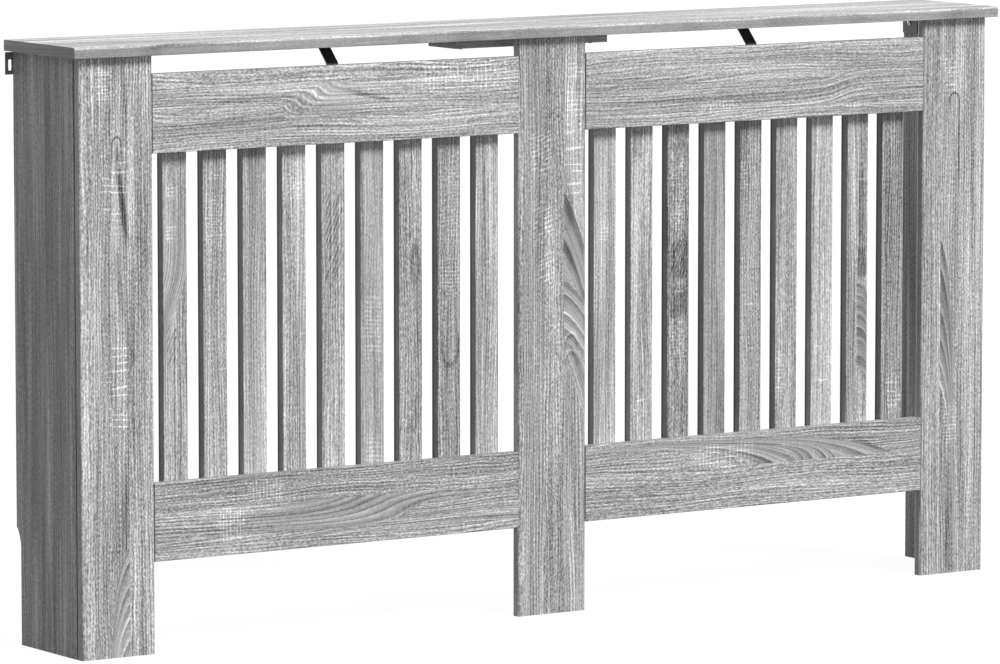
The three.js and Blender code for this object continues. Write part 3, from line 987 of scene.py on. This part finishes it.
@dataclass(frozen=True)
class BeechFinish:
    """Plain beech for the dowels: warm, fine and even, with short dark flecks."""

    pale: Colour = (0.60, 0.40, 0.23, 1.0)
    deep: Colour = (0.42, 0.25, 0.13, 1.0)
    roughness: float = 0.55
    fleck_width: float = 0.6 * MM
    fleck_length: float = 5 * MM
    fleck_range: tuple[float, float] = (0.35, 0.65)

    def material(self) -> bpy.types.Material:
        """Makes the material.

        Returns:
            The material.
        """
        coat = Coat("beech")
        sheet = coat.sheet
        scale = (1 / self.fleck_length, 1 / self.fleck_width, 1 / self.fleck_width)
        place = sheet.add("ShaderNodeTexCoord", {}, "Object")
        stretched = sheet.add("ShaderNodeMapping", {"Scale": scale, "Vector": place})
        share = sheet.step(sheet.noise(stretched, detail=2.0), *self.fleck_range)
        colour = sheet.add("ShaderNodeMix", {0: share, 6: self.deep, 7: self.pale}, 2, data_type="RGBA")
        coat.paint({"Roughness": self.roughness, "Base Color": colour})
        return coat.made


BLACK_STEEL = MetalFinish("black_steel", 0.012, 0.0, 0.45, 0.5 * MM, 0.05 * MM, 0.5)
DARK_STEEL = MetalFinish("dark_steel", 0.25, 0.0, 0.42, 0.4 * MM, 0.04 * MM, 0.4)
ZINC = MetalFinish("zinc", 0.42, 1.0, 0.32, 0.3 * MM, 0.02 * MM, 0.3)


def dress(node: str, material: bpy.types.Material) -> None:
    """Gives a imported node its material, in place of the plain one that it came with.

    Args:
        node: The node's name.
        material: The material.
    """
    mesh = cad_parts[node].data
    mesh.materials.clear()
    mesh.materials.append(material)
    LOG.info("dressed %s with %s", node, material.name)


def stood(name: str, data: bpy.types.ID) -> bpy.types.Object:
    """Puts a new object into the scene.

    Args:
        name: The object's name.
        data: Its mesh, lamp or camera.

    Returns:
        The object.
    """
    made = bpy.data.objects.new(name, data)
    bpy.context.scene.collection.objects.link(made)
    return made


@dataclass(frozen=True)
class SlatLook:
    """What sets one slat apart: its tone, the slant of its fibre and what stands out on it."""

    tone: float = 0.0
    slant: float = 0.0
    rough: float = 0.6
    bands: float = 0.9
    fine: float = 0.88
    scatter: float = 0.0
    flames: tuple[Flame, ...] = ()
    sweeps: tuple[Sweep, ...] = ()
    arches: tuple[Arch, ...] = ()
    patches: tuple[Patch, ...] = ()


# What stands out on each board, from the left; the top pair of rails comes before the bottom pair.
POSTS = (
    OakBoard(
        "post_left", Grain.UPRIGHT_FRONT, 11.0, tone=0.015, stave_start=-0.675, stave_width=0.0255,
        bands=1.1, fine=0.92, wavy=0.5, edge=0.0,
        arches=(Arch(-0.6910, 0.683, 0.0070, 0.0110, strength=0.34, legs=3.2),),
        flames=(Flame(-0.675, 0.150, 0.038, 0.0330, 0.190, 0.055, 1.0, 0.026, side=-1, strength=1.5),),
        patches=(
            Patch(-0.711, 0.763, 0.015, 0.028, DENSE_HATCH, stain=0.02),
            Patch(-0.694, 0.630, 0.024, 0.060, SPARSE_CUTS),
            Patch(-0.690, 0.360, 0.020, 0.095, SPARSE_CUTS),
            stain(-0.6835, 0.608, 0.0065, 0.078, tone=-0.34, lean=-0.125, soft=0.8),
            stain(-0.690, 0.672, 0.0035, 0.018, tone=-0.30, soft=0.8),
            stain(-0.686, 0.490, 0.008, 0.080, tone=-0.15, lean=-0.13),
            stain(-0.679, 0.740, 0.006, 0.070, tone=-0.09, lean=-0.04),
            stain(-0.680, 0.205, 0.008, 0.070, tone=-0.12),
        ),
    ),
    OakBoard(
        "post_centre", Grain.UPRIGHT_FRONT, 17.0, tone=-0.005, stave_start=0.019, stave_width=0.033,
        # Painted light on the centre post's sides, through its edge tone.
        bands=1.1, fine=0.92, wavy=0.8, edge=0.085,
        arches=(
            Arch(0.002, 0.689, 0.0070, 0.006, strength=0.22, legs=0.3),
            Arch(0.0315, 0.3730, 0.0095, 0.0120, strength=0.15, thinness=0.22, legs=0.8),
            Arch(0.0315, 0.3778, 0.0095, 0.0120, strength=-0.14, legs=0.3),
            Arch(0.0315, 0.3490, 0.0095, 0.0120, strength=0.15, thinness=0.22, legs=0.8),
            Arch(0.0315, 0.3538, 0.0095, 0.0120, strength=-0.14, legs=0.3),
        ),
        flames=(
            Flame(0.019, 0.588, 0.110, 0.046, 0.240, 0.200, 1.1, 0.080, side=1, strength=1.2),
            Flame(0.019, 0.462, 0.110, 0.046, 0.085, 0.090, 1.2, 0.022, side=1, strength=1.4),
        ),
        patches=(
            Patch(0.037, 0.715, 0.018, 0.060, UPRIGHT_HATCH),
            Patch(0.036, 0.625, 0.018, 0.060, SPARSE_CUTS),
            Patch(-0.018, 0.640, 0.021, 0.036, RIPPLES),
            Patch(-0.014, 0.545, 0.020, 0.036, RIPPLES),
            Patch(-0.010, 0.478, 0.016, 0.030, RIPPLES),
            stain(0.028, 0.560, 0.012, 0.045, tone=-0.14),
            stain(0.028, 0.495, 0.011, 0.030, tone=-0.12, lean=-0.3),
            stain(0.011, 0.560, 0.0010, 0.160, tone=-0.14),
        ),
    ),
    OakBoard(
        "post_right", Grain.UPRIGHT_FRONT, 23.0, tone=0.005, stave_start=0.669, stave_width=0.031,
        bands=1.0, fine=0.88, wavy=0.4, edge=0.0,
        arches=(Arch(0.692, 0.683, 0.0085, 0.010, strength=0.32, legs=2.2),),
        flames=(Flame(0.669, 0.482, 0.032, 0.030, 0.210, 0.060, 1.0, 0.046, side=1, strength=1.2),),
        patches=(
            Patch(0.684, 0.722, 0.017, 0.034, UPRIGHT_HATCH),
            Patch(0.687, 0.215, 0.015, 0.038, HATCH),
            stain(0.674, 0.458, 0.004, 0.032, tone=-0.14, lean=-0.2),
            stain(0.684, 0.065, 0.006, 0.075, tone=-0.13),
            stain(0.7005, 0.620, 0.0022, 0.080, tone=-0.34, soft=0.7),
        ),
    ),
)

RAILS = (
    OakBoard(
        "top_rail_left", Grain.LENGTHWISE_FRONT, 31.0, tone=0.036, stave_start=0.710, stave_width=0.044,
        bands=0.7, fine=0.95, wavy=1.3,
        sweeps=(
            Sweep(
                0.754, -0.345, 2.4, 0.0123, 0.016, 0.030, 0.0062, side=-1, way=1, strength=0.9, reach=0.055
            ),
        ),
        patches=(
            Patch(0.752, -0.150, 0.024, 0.095, UPRIGHT_HATCH),
            stain(0.733, -0.300, 0.0055, 0.055, tone=-0.24, lean=-0.22),
            stain(0.729, -0.545, 0.007, 0.100, tone=-0.07, lean=0.12),
        ),
    ),
    OakBoard(
        "top_rail_right", Grain.LENGTHWISE_FRONT, 37.0, tone=0.03, stave_start=0.686, stave_width=0.041,
        bands=0.8, fine=0.8, wavy=1.5,
        eyes=(Eye(0.720, 0.060, 0.0070, 0.040, 0.0110),),
        sweeps=(Sweep(0.688, 0.490, 0.0, 0.014, 0.016, 0.032, 0.0085, side=1, way=1, strength=0.6),),
        patches=(
            Patch(0.682, 0.513, 0.008, 0.014, UPRIGHT_HATCH),
            Patch(0.692, 0.275, 0.010, 0.042, HATCH),
            stain(0.715, 0.200, 0.006, 0.120, tone=0.07, lean=0.12),
        ),
    ),
    OakBoard(
        "bottom_rail_left", Grain.LENGTHWISE_FRONT, 41.0, tone=-0.025, stave_start=0.188, stave_width=0.050,
        bands=0.8, fine=0.98, wavy=1.2,
        sweeps=(Sweep(0.188, -0.320, 4.0, 0.055, 0.030, 0.012, 0.0052, side=-1, strength=1.1),),
        patches=(
            Patch(0.165, -0.515, 0.028, 0.030, HATCH),
            Patch(0.208, -0.460, 0.018, 0.036, HATCH),
            stain(0.176, -0.260, 0.012, 0.120, tone=-0.06, lean=0.05),
        ),
    ),
    OakBoard(
        "bottom_rail_right", Grain.LENGTHWISE_FRONT, 43.0, tone=0.01, stave_start=0.183, stave_width=0.060,
        bands=0.6, fine=0.9,
        flames=(
            Flame(0.183, 0.588, 0.046, 0.0400, 0.280, 0.066, 0.8, 0.056, side=1, strength=1.3),
            Flame(0.183, 0.484, 0.027, 0.0245, 0.075, 0.013, 0.8, 0.0185, side=1, strength=1.6),
        ),
        patches=(
            Patch(0.200, 0.292, 0.022, 0.062, UPRIGHT_HATCH),
            stain(0.198, 0.540, 0.006, 0.040, tone=-0.14, lean=-0.4),
        ),
    ),
)

LEFT_SLATS = (
    SlatLook(
        tone=0.035,
        sweeps=(Sweep(-0.6122, 0.477, 0.0, 0.016, 0.024, 0.015, 0.0036, side=1, way=1),),
        patches=(
            Patch(-0.6005, 0.616, 0.010, 0.009, HATCH),
            Patch(-0.6005, 0.560, 0.010, 0.014, HATCH),
            Patch(-0.5995, 0.410, 0.010, 0.036, STROKES),
        ),
    ),
    SlatLook(
        tone=0.012,
        patches=(
            Patch(-0.533, 0.636, 0.015, 0.009, SPARSE_CUTS),
            Patch(-0.533, 0.573, 0.017, 0.046, FAINT_HATCH),
        ),
    ),
    SlatLook(tone=0.038, slant=0.14, fine=0.8),
    SlatLook(
        tone=0.042, scatter=0.04,
        patches=(
            Patch(-0.409, 0.612, 0.017, 0.024, FAINT_HATCH),
            stain(-0.4025, 0.500, 0.0012, 0.085, tone=0.15),
            stain(-0.3985, 0.430, 0.0010, 0.120, tone=0.12),
            stain(-0.398, 0.454, 0.008, 0.0020, tone=0.16, soft=1.0),
        ),
    ),
    SlatLook(tone=0.036, slant=0.26, patches=(Patch(-0.346, 0.536, 0.017, 0.085, STROKES),)),
    SlatLook(
        rough=0.3, fine=0.62,
        patches=(
            Patch(-0.284, 0.418, 0.018, 0.056, FINE_RIPPLES),
            Patch(-0.284, 0.235, 0.018, 0.040, FINE_RIPPLES),
        ),
    ),
    SlatLook(
        tone=-0.010,
        arches=(Arch(-0.2150, 0.488, 0.0060, 0.030, strength=0.20, thinness=0.30),),
        patches=(
            stain(-0.2112, 0.598, 0.0012, 0.040, tone=0.17, lean=-0.21),
            stain(-0.2150, 0.485, 0.0050, 0.038, tone=-0.12),
            stain(-0.2140, 0.290, 0.0016, 0.045, tone=-0.20, lean=0.05),
            stain(-0.2120, 0.255, 0.0014, 0.035, tone=0.14, lean=-0.16),
        ),
    ),
    SlatLook(
        tone=-0.062, rough=0.9,
        arches=(Arch(-0.158, 0.385, 0.0140, -0.030, strength=0.16, thinness=0.14),),
        patches=(
            Patch(-0.160, 0.575, 0.019, 0.070, FAINT_HATCH),
            Patch(-0.160, 0.478, 0.019, 0.036, HATCH, stain=-0.04),
        ),
    ),
    SlatLook(tone=0.005, rough=0.2, bands=1.2),
)

RIGHT_SLATS = (
    SlatLook(tone=0.060, fine=0.8, patches=(Patch(0.0955, 0.526, 0.012, 0.018, FAINT_HATCH),)),
    SlatLook(
        tone=0.070,
        patches=(
            Patch(0.1525, 0.642, 0.0095, 0.026, SPARSE_CUTS, stain=-0.14, soft=0.3),
            Patch(0.1560, 0.275, 0.012, 0.016, SPARSE_CUTS),
        ),
    ),
    SlatLook(
        tone=-0.095, rough=0.9,
        patches=(
            Patch(0.2215, 0.570, 0.018, 0.070, FAINT_HATCH),
            Patch(0.2215, 0.478, 0.018, 0.034, STROKES, stain=-0.10),
            stain(0.2215, 0.4345, 0.018, 0.0024, tone=0.20, soft=1.0),
            stain(0.2215, 0.420, 0.019, 0.030, tone=-0.16, soft=0.7),
            Patch(0.2215, 0.360, 0.018, 0.045, FAINT_HATCH),
        ),
    ),
    SlatLook(tone=-0.036, rough=0.3, fine=0.62, bands=0.6),
    SlatLook(
        tone=-0.040, scatter=0.04,
        patches=(
            stain(0.3500, 0.608, 0.0012, 0.060, tone=0.16, lean=-0.22),
            stain(0.3440, 0.600, 0.0010, 0.060, tone=0.11, lean=-0.22),
            stain(0.3455, 0.409, 0.017, 0.0022, tone=0.18, soft=1.0),
            stain(0.3455, 0.549, 0.012, 0.0020, tone=0.12, soft=1.0),
        ),
    ),
    SlatLook(
        tone=0.010, fine=0.82,
        patches=(stain(0.3940, 0.520, 0.0040, 0.110, tone=-0.10), Patch(0.3970, 0.307, 0.0090, 0.042, HATCH)),
    ),
    SlatLook(
        tone=0.090, fine=0.8,
        patches=(
            stain(0.4640, 0.342, 0.010, 0.0020, tone=0.16, soft=1.0),
            stain(0.4790, 0.326, 0.010, 0.0020, tone=0.14, soft=1.0),
            stain(0.4700, 0.293, 0.018, 0.0024, tone=0.20, soft=1.0),
        ),
    ),
    SlatLook(
        rough=0.3,
        flames=(Flame(0.5315, 0.4278, 0.028, 0.0190, 0.125, 0.011, 1.7, 0.021, side=1, strength=1.3),),
        patches=(
            stain(0.5410, 0.530, 0.0095, 0.075, tone=-0.15, soft=0.5),
            stain(0.5400, 0.457, 0.0085, 0.025, tone=-0.24, soft=0.35),
            stain(0.5410, 0.355, 0.0100, 0.065, tone=-0.10, soft=0.4),
            stain(0.5390, 0.5760, 0.014, 0.0022, tone=0.16, soft=1.0),
        ),
    ),
    SlatLook(tone=-0.057, rough=0.8, patches=(Patch(0.5980, 0.268, 0.017, 0.034, UPRIGHT_HATCH),)),
)


# The sub-assemblies


@dataclass
class OakAssembly:
    """A part of the cover that is made of oak boards, each dressed in its own stretch of the decor."""

    shelf: GroupShelf
    finish: OakFinish = OakFinish()

    def boards(self) -> tuple[OakBoard, ...]:
        """Lists the boards with what stands out on each."""
        raise NotImplementedError

    def build(self) -> None:
        """Dresses every board."""
        for board in self.boards():
            dress(board.node, self.finish.material(self.shelf, board))


@dataclass
class TopAssembly(OakAssembly):
    """The long top board and the plate under its middle."""

    stave_width: float = 48 * MM

    def boards(self) -> tuple[OakBoard, ...]:
        """Lists the top board and the centre plate.

        Returns:
            Both boards.
        """
        flat = Grain.LENGTHWISE_FLAT
        # The raised tone is partly painted sheen on the top face; the edge tone is painted shade on the front
        # edge and ends.
        looks = {"tone": 0.074, "bands": 1.4, "fine": 0.8, "wavy": 0.6, "edge": -0.115}
        top_board = OakBoard("top_board", flat, 3.1, stave_width=self.stave_width, **looks)
        return top_board, OakBoard("centre_plate", flat, 8.6, scatter=0.04)


class FrontFrame(OakAssembly):
    """The three posts and the four rails between them."""

    def boards(self) -> tuple[OakBoard, ...]:
        """Lists the posts and the rails."""
        return POSTS + RAILS


@dataclass
class SlatGrille(OakAssembly):
    """The nine slats of each bay, each cut from its own stretch of the decor."""

    left_seed: float = 51.0
    right_seed: float = 71.0
    seed_step: float = 1.7
    stave_width: float = 27 * MM
    wavy: float = 0.5
    # Painted shade on the slats' sides, where the neighbouring slats keep the light off.
    edge: float = -0.075
    rear_line: float = -0.30

    def boards(self) -> tuple[OakBoard, ...]:
        """Lists the slats of both bays.

        Returns:
            The slats, from the left.
        """
        shared = {name: getattr(self, name) for name in ("stave_width", "wavy", "edge", "rear_line")}
        made: list[OakBoard] = []
        bays = (("left", self.left_seed, LEFT_SLATS), ("right", self.right_seed, RIGHT_SLATS))
        for side, first_seed, looks in bays:
            for number, look in enumerate(looks, start=1):
                node, seed = f"slat_{side}_{number}", first_seed + number * self.seed_step
                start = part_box(node)[0].x + self.stave_width * (seed % 1.0)
                board = OakBoard(node, Grain.UPRIGHT_FRONT, seed, stave_start=start, **shared, **vars(look))
                made.append(board)
        return tuple(made)


class SidePanels(OakAssembly):
    """The two side panels with their skirting cut-outs."""

    def boards(self) -> tuple[OakBoard, ...]:
        """Lists both side panels.

        Returns:
            The left one and the right one.
        """
        # The darker tone is painted shade on the cover's sides.
        looks = {"tone": -0.030, "bands": 1.4, "fine": 0.75, "wavy": 0.4}
        seeds = {"side_panel_left": 91.0, "side_panel_right": 97.0}
        return tuple(OakBoard(node, Grain.UPRIGHT_SIDE, seed, **looks) for node, seed in seeds.items())


@dataclass
class Fittings:
    """The straps, brackets and dowels, which keep the solids' shapes."""

    shelf: GroupShelf

    def build(self) -> None:
        """Dresses the straps in black, the brackets in dark steel and the dowels in beech."""
        black, dark = BLACK_STEEL.material(self.shelf), DARK_STEEL.material(self.shelf)
        beech = BeechFinish().material()
        by_prefix = {"top_brace": black, "wall_bracket": dark, "rail_dowel": beech, "panel_dowel": beech}
        for node in sorted(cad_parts):
            for prefix, material in by_prefix.items():
                if node.startswith(prefix):
                    dress(node, material)


@dataclass(frozen=True)
class WoodScrew:
    """A zinc wood screw with a domed head, a cross recess and a rolled thread."""

    name: str
    seat: Point
    direction: Point
    length: float = 25 * MM
    shank_radius: float = 1.75 * MM
    head_radius: float = 3.75 * MM
    head_height: float = 2.4 * MM
    rim: float = 0.5 * MM
    tip_length: float = 3 * MM
    thread_pitch: float = 1.6 * MM
    thread_height: float = 0.45 * MM
    recess_depth: float = 1.3 * MM
    recess_reach: float = 2.1 * MM
    recess_width: float = 0.45 * MM
    around: int = 40


# Screws: the rings over the head, from the first to the last as shares of its radius, and their number; the
# recess's half width in arm widths and its soft end; the thread's rings to a turn, how sharp it is, how many
# turns below the seat it starts, and how blunt the tip is.
HEAD_RINGS = (0.06, 0.94, 14)
RECESS_HALF = 1.5
RECESS_SOFT = 0.35
THREAD_RINGS = 6
THREAD_SHARPNESS = 2.2
THREAD_START = 0.6
TIP_BLUNTNESS = 0.03


class ScrewMaker:
    """Makes screws as one closed surface of turn each, worked out as whole arrays."""

    def __init__(self, shelf: GroupShelf) -> None:
        """Keeps the finish that all the screws share."""
        self.zinc = ZINC.material(shelf)

    @staticmethod
    def surface(screw: WoodScrew) -> np.ndarray:
        """Works out the screw's surface about the Z axis, its seat at 0, its head above and its tip below.

        A grid of rings and angles: from the middle of the head outwards the height is a dome that falls to
        the rim, less a cross recess; then the rim goes down to the seat, in to the shank, and down it to the
        tip. On the shank the radius grows where the height and the angle together reach a turn of the thread,
        and it shrinks to a point over the length of the tip.

        Args:
            screw: The screw's sizes.

        Returns:
            The points, as rings by angles by three.
        """
        angle = np.linspace(0.0, math.tau, screw.around, endpoint=False)
        head_r = np.concatenate([np.linspace(*HEAD_RINGS), [1.0]]) * screw.head_radius
        dome = screw.rim + (screw.head_height - screw.rim) * np.sqrt(1 - (head_r / screw.head_radius) ** 2)
        r, a = np.meshgrid(head_r, angle, indexing="ij")
        x, y = r * np.cos(a), r * np.sin(a)
        arm = np.minimum(np.abs(x), np.abs(y))
        in_arm = np.clip((screw.recess_width * RECESS_HALF - arm) / screw.recess_width, 0, 1)
        in_reach = np.clip((screw.recess_reach - r) / (RECESS_SOFT * screw.recess_reach), 0, 1)
        head = np.stack([x, y, dome[:, None] - screw.recess_depth * in_arm * in_reach], -1)
        rim = np.stack([screw.head_radius * np.cos(angle), screw.head_radius * np.sin(angle), 0 * angle], -1)
        turns = max(2, round((screw.length - screw.tip_length) / screw.thread_pitch))
        down = np.linspace(0.0, -screw.length, (turns + 1) * THREAD_RINGS)
        z, a = np.meshgrid(down, angle, indexing="ij")
        swing = np.abs(((z / screw.thread_pitch + a / math.tau) % 1.0) - 0.5) * 2
        ridge = np.clip(1 - swing * THREAD_SHARPNESS, 0, 1) * screw.thread_height
        threaded = np.clip(-z / screw.thread_pitch - THREAD_START, 0, 1)
        taper = np.clip((screw.length + z) / screw.tip_length, TIP_BLUNTNESS, 1)
        shank_r = (screw.shank_radius + ridge * threaded) * taper
        shank = np.stack([shank_r * np.cos(a), shank_r * np.sin(a), z], -1)
        return np.concatenate([head, rim[None], shank])

    @staticmethod
    def placed(points: np.ndarray, screw: WoodScrew) -> np.ndarray:
        """Turns a screw so that its tip points its way, and moves it to its seat.

        Args:
            points: Its points about the Z axis.
            screw: Its seat and direction.

        Returns:
            Its points in place.
        """
        towards_head = -Vector(screw.direction)
        turn = np.array(Vector((0, 0, 1)).rotation_difference(towards_head).to_matrix())
        return points @ turn.T + np.array(screw.seat)

    @staticmethod
    def faces(rings: int, around: int) -> list[list[int]]:
        """Joins the grid of rings and angles with quads and closes both ends with a fan.

        Args:
            rings: How many rings the grid has.
            around: How many points each ring has.

        Returns:
            The faces. The fans' middles are the two points that follow the grid's.
        """
        ring, step = np.meshgrid(np.arange(rings - 1), np.arange(around), indexing="ij")
        here, beside = ring * around + step, ring * around + (step + 1) % around
        quads = np.stack([here, here + around, beside + around, beside], -1).reshape(-1, 4)
        turn = np.arange(around)
        after = (turn + 1) % around
        last, count = (rings - 1) * around, rings * around
        top = np.stack([np.full(around, count), turn, after], -1)
        bottom = np.stack([np.full(around, count + 1), last + after, last + turn], -1)
        return quads.tolist() + top.tolist() + bottom.tolist()

    def make(self, screw: WoodScrew) -> bpy.types.Object:
        """Makes one screw and lets it ride on the cover.

        Args:
            screw: Its name, seat, direction and sizes.

        Returns:
            Its object.
        """
        grid = self.surface(screw)
        caps = np.array([[0, 0, grid[0, :, 2].min()], [0, 0, -screw.length]])
        points = self.placed(np.concatenate([grid.reshape(-1, 3), caps]), screw)
        mesh = bpy.data.meshes.new(screw.name)
        mesh.from_pydata(points.tolist(), [], self.faces(*grid.shape[:2]))
        mesh.materials.append(self.zinc)
        mesh.shade_smooth()
        made = stood(screw.name, mesh)
        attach(made, BODY)
        LOG.info("made %s", screw.name)
        return made


@dataclass
class Screws:
    """All the screws: two in each slat, four in the centre plate, and those of the straps and brackets."""

    maker: ScrewMaker
    slat_count: int = 9
    plate_inset: tuple[float, float] = (0.018, 0.016)

    def slat_screws(self) -> None:
        """Two screws in each slat from the rear, at the middle of its lap on each rail."""
        for side in ("left", "right"):
            for number in range(1, self.slat_count + 1):
                low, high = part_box(f"slat_{side}_{number}")
                for place, rail in (("upper", f"top_rail_{side}"), ("lower", f"bottom_rail_{side}")):
                    rail_low, rail_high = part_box(rail)
                    lap_low, lap_high = max(low.z, rail_low.z), min(high.z, rail_high.z)
                    seat = ((low.x + high.x) / 2, high.y, (lap_low + lap_high) / 2)
                    self.maker.make(WoodScrew(f"slat_screw_{side}_{number}_{place}", seat, (0, -1, 0)))

    def plate_screws(self) -> None:
        """Four screws from below that hold the centre plate to the top board."""
        low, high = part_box("centre_plate")
        inset_x, inset_y = self.plate_inset
        for end, x in (("left", low.x + inset_x), ("right", high.x - inset_x)):
            for edge, y in (("front", low.y + inset_y), ("rear", high.y - inset_y)):
                self.maker.make(WoodScrew(f"plate_screw_{end}_{edge}", (x, y, low.z), (0, 0, 1)))

    def fitting_screws(self) -> None:
        """The screws of the straps and wall brackets, each in place of its plain solid."""
        for side, outwards in (("left", -1), ("right", 1)):
            for node, direction in (
                (f"brace_screw_{side}_rail", (0, -1, 0)),
                (f"brace_screw_{side}_top", (0, 0, 1)),
                (f"bracket_screw_{side}", (outwards, 0, 0)),
            ):
                low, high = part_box(node)
                axis = max(range(3), key=lambda i: abs(direction[i]))
                sense = direction[axis]
                head_end, tip_end = (low[axis], high[axis]) if sense > 0 else (high[axis], low[axis])
                seat = list((low + high) / 2)
                seat[axis] = head_end + sense * WoodScrew.head_height
                length = abs(tip_end - seat[axis])
                made = self.maker.make(WoodScrew(node + "_fine", tuple(seat), direction, length))
                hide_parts(node)

    def build(self) -> None:
        """Makes every screw."""
        self.slat_screws()
        self.plate_screws()
        self.fitting_screws()


# The studio


@dataclass(frozen=True)
class Lamp:
    """A large soft lamp: its name, the way towards it, its strength and how wide it looks, in degrees."""

    name: str
    towards: Point
    strength: float
    angle: float

    def hang(self) -> None:
        """Puts the lamp into the scene."""
        data = bpy.data.lights.new(self.name, "SUN")
        data.energy = self.strength
        data.angle = math.radians(self.angle)
        stood(self.name, data).rotation_euler = Vector(self.towards).to_track_quat("Z", "Y").to_euler()


# The key light above the front, a wide weak fill light straight in front and a level one behind.
LAMPS = (
    Lamp("key_light", (0.22, -0.68, 0.763), 3.14, 22.0),
    Lamp("fill_light", (0.05, -1.0, 0.10), 0.235, 15.0),
    Lamp("rear_light", (0.0, 1.0, 0.004), 1.3, 3.0),
)


@dataclass
class Studio:
    """The camera, the soft light and the pale floor."""

    camera_place: Point = (-5.1062, -7.7112, 1.4396)
    camera_turn: float = 33.3496
    camera_dip: float = 6.5089
    camera_lens: float = 241.25
    camera_sensor: float = 36.0
    camera_reach: float = 200.0
    sky_strength: float = 0.325
    floor_half: float = 90.0
    floor_glow: float = 0.955
    floor_shade: float = 0.11
    floor_bounce: float = 0.10

    def camera(self) -> None:
        """Stands the camera far off to the front left of the cover and a little above it."""
        data = bpy.data.cameras.new("camera")
        data.lens = self.camera_lens
        data.sensor_width = self.camera_sensor
        data.clip_end = self.camera_reach
        made = stood("camera", data)
        made.location = self.camera_place
        made.rotation_euler = (math.radians(90 - self.camera_dip), 0.0, -math.radians(self.camera_turn))
        bpy.context.scene.camera = made

    @staticmethod
    def seen_share(sheet: NodeSheet) -> Value:
        """Gives 1 for rays that show the background: to the camera, in a reflection or through glass."""
        ray = sheet.add("ShaderNodeLightPath", {}, "Is Camera Ray")
        return ray.most(ray.twin("Is Glossy Ray")).most(ray.twin("Is Transmission Ray"))

    def sky(self) -> None:
        """Fills the surroundings with even light, which is white where it is seen."""
        world = bpy.data.worlds.new("surroundings")
        world.use_nodes = True
        bpy.context.scene.world = world
        sheet = NodeSheet(world.node_tree)
        inputs = world.node_tree.nodes["Background"].inputs
        sheet.feed(inputs["Color"], (1.0, 1.0, 1.0, 1.0))
        sheet.feed(inputs["Strength"], sheet.blend(self.seen_share(sheet), self.sky_strength, 1.0))

    def floor(self) -> None:
        """Lays a wide pale floor, near white where it is seen, on which the shadow stays faint."""
        half = self.floor_half
        mesh = bpy.data.meshes.new("floor")
        corners = [(-half, -half, 0), (half, -half, 0), (half, half, 0), (-half, half, 0)]
        mesh.from_pydata(corners, [], [(0, 1, 2, 3)])
        stood("floor", mesh)
        material = bpy.data.materials.new("pale_floor")
        material.use_nodes = True
        material.cycles.emission_sampling = "NONE"
        nodes = material.node_tree.nodes
        nodes.remove(nodes["Principled BSDF"])
        sheet = NodeSheet(material.node_tree)
        glow = sheet.add("ShaderNodeEmission", {"Strength": self.floor_glow})
        shade, dim = (
            sheet.add("ShaderNodeBsdfDiffuse", {"Color": (grey, grey, grey, 1.0)})
            for grey in (self.floor_shade, self.floor_bounce)
        )
        seen = sheet.add("ShaderNodeAddShader", {0: glow, 1: shade})
        chosen = sheet.add("ShaderNodeMixShader", {0: self.seen_share(sheet), 1: dim, 2: seen})
        sheet.feed(nodes["Material Output"].inputs["Surface"], chosen)
        mesh.materials.append(material)

    def build(self) -> None:
        """Sets up the camera, the lamps, the surroundings and the floor."""
        bpy.context.scene.view_settings.view_transform = "Standard"
        self.camera()
        for lamp in LAMPS:
            lamp.hang()
        self.sky()
        self.floor()


def main() -> None:
    """Builds the studio, dresses every board and fitting, and adds the screws."""
    logging.basicConfig(level=logging.INFO, format="%(name)s: %(message)s")
    Studio().build()
    shelf = GroupShelf()
    boards = [kind(shelf) for kind in (TopAssembly, FrontFrame, SlatGrille, SidePanels)]
    for assembly in (*boards, Fittings(shelf), Screws(ScrewMaker(shelf))):
        assembly.build()
        LOG.info("finished %s", type(assembly).__name__)


if __name__ == "__main__":
    main()
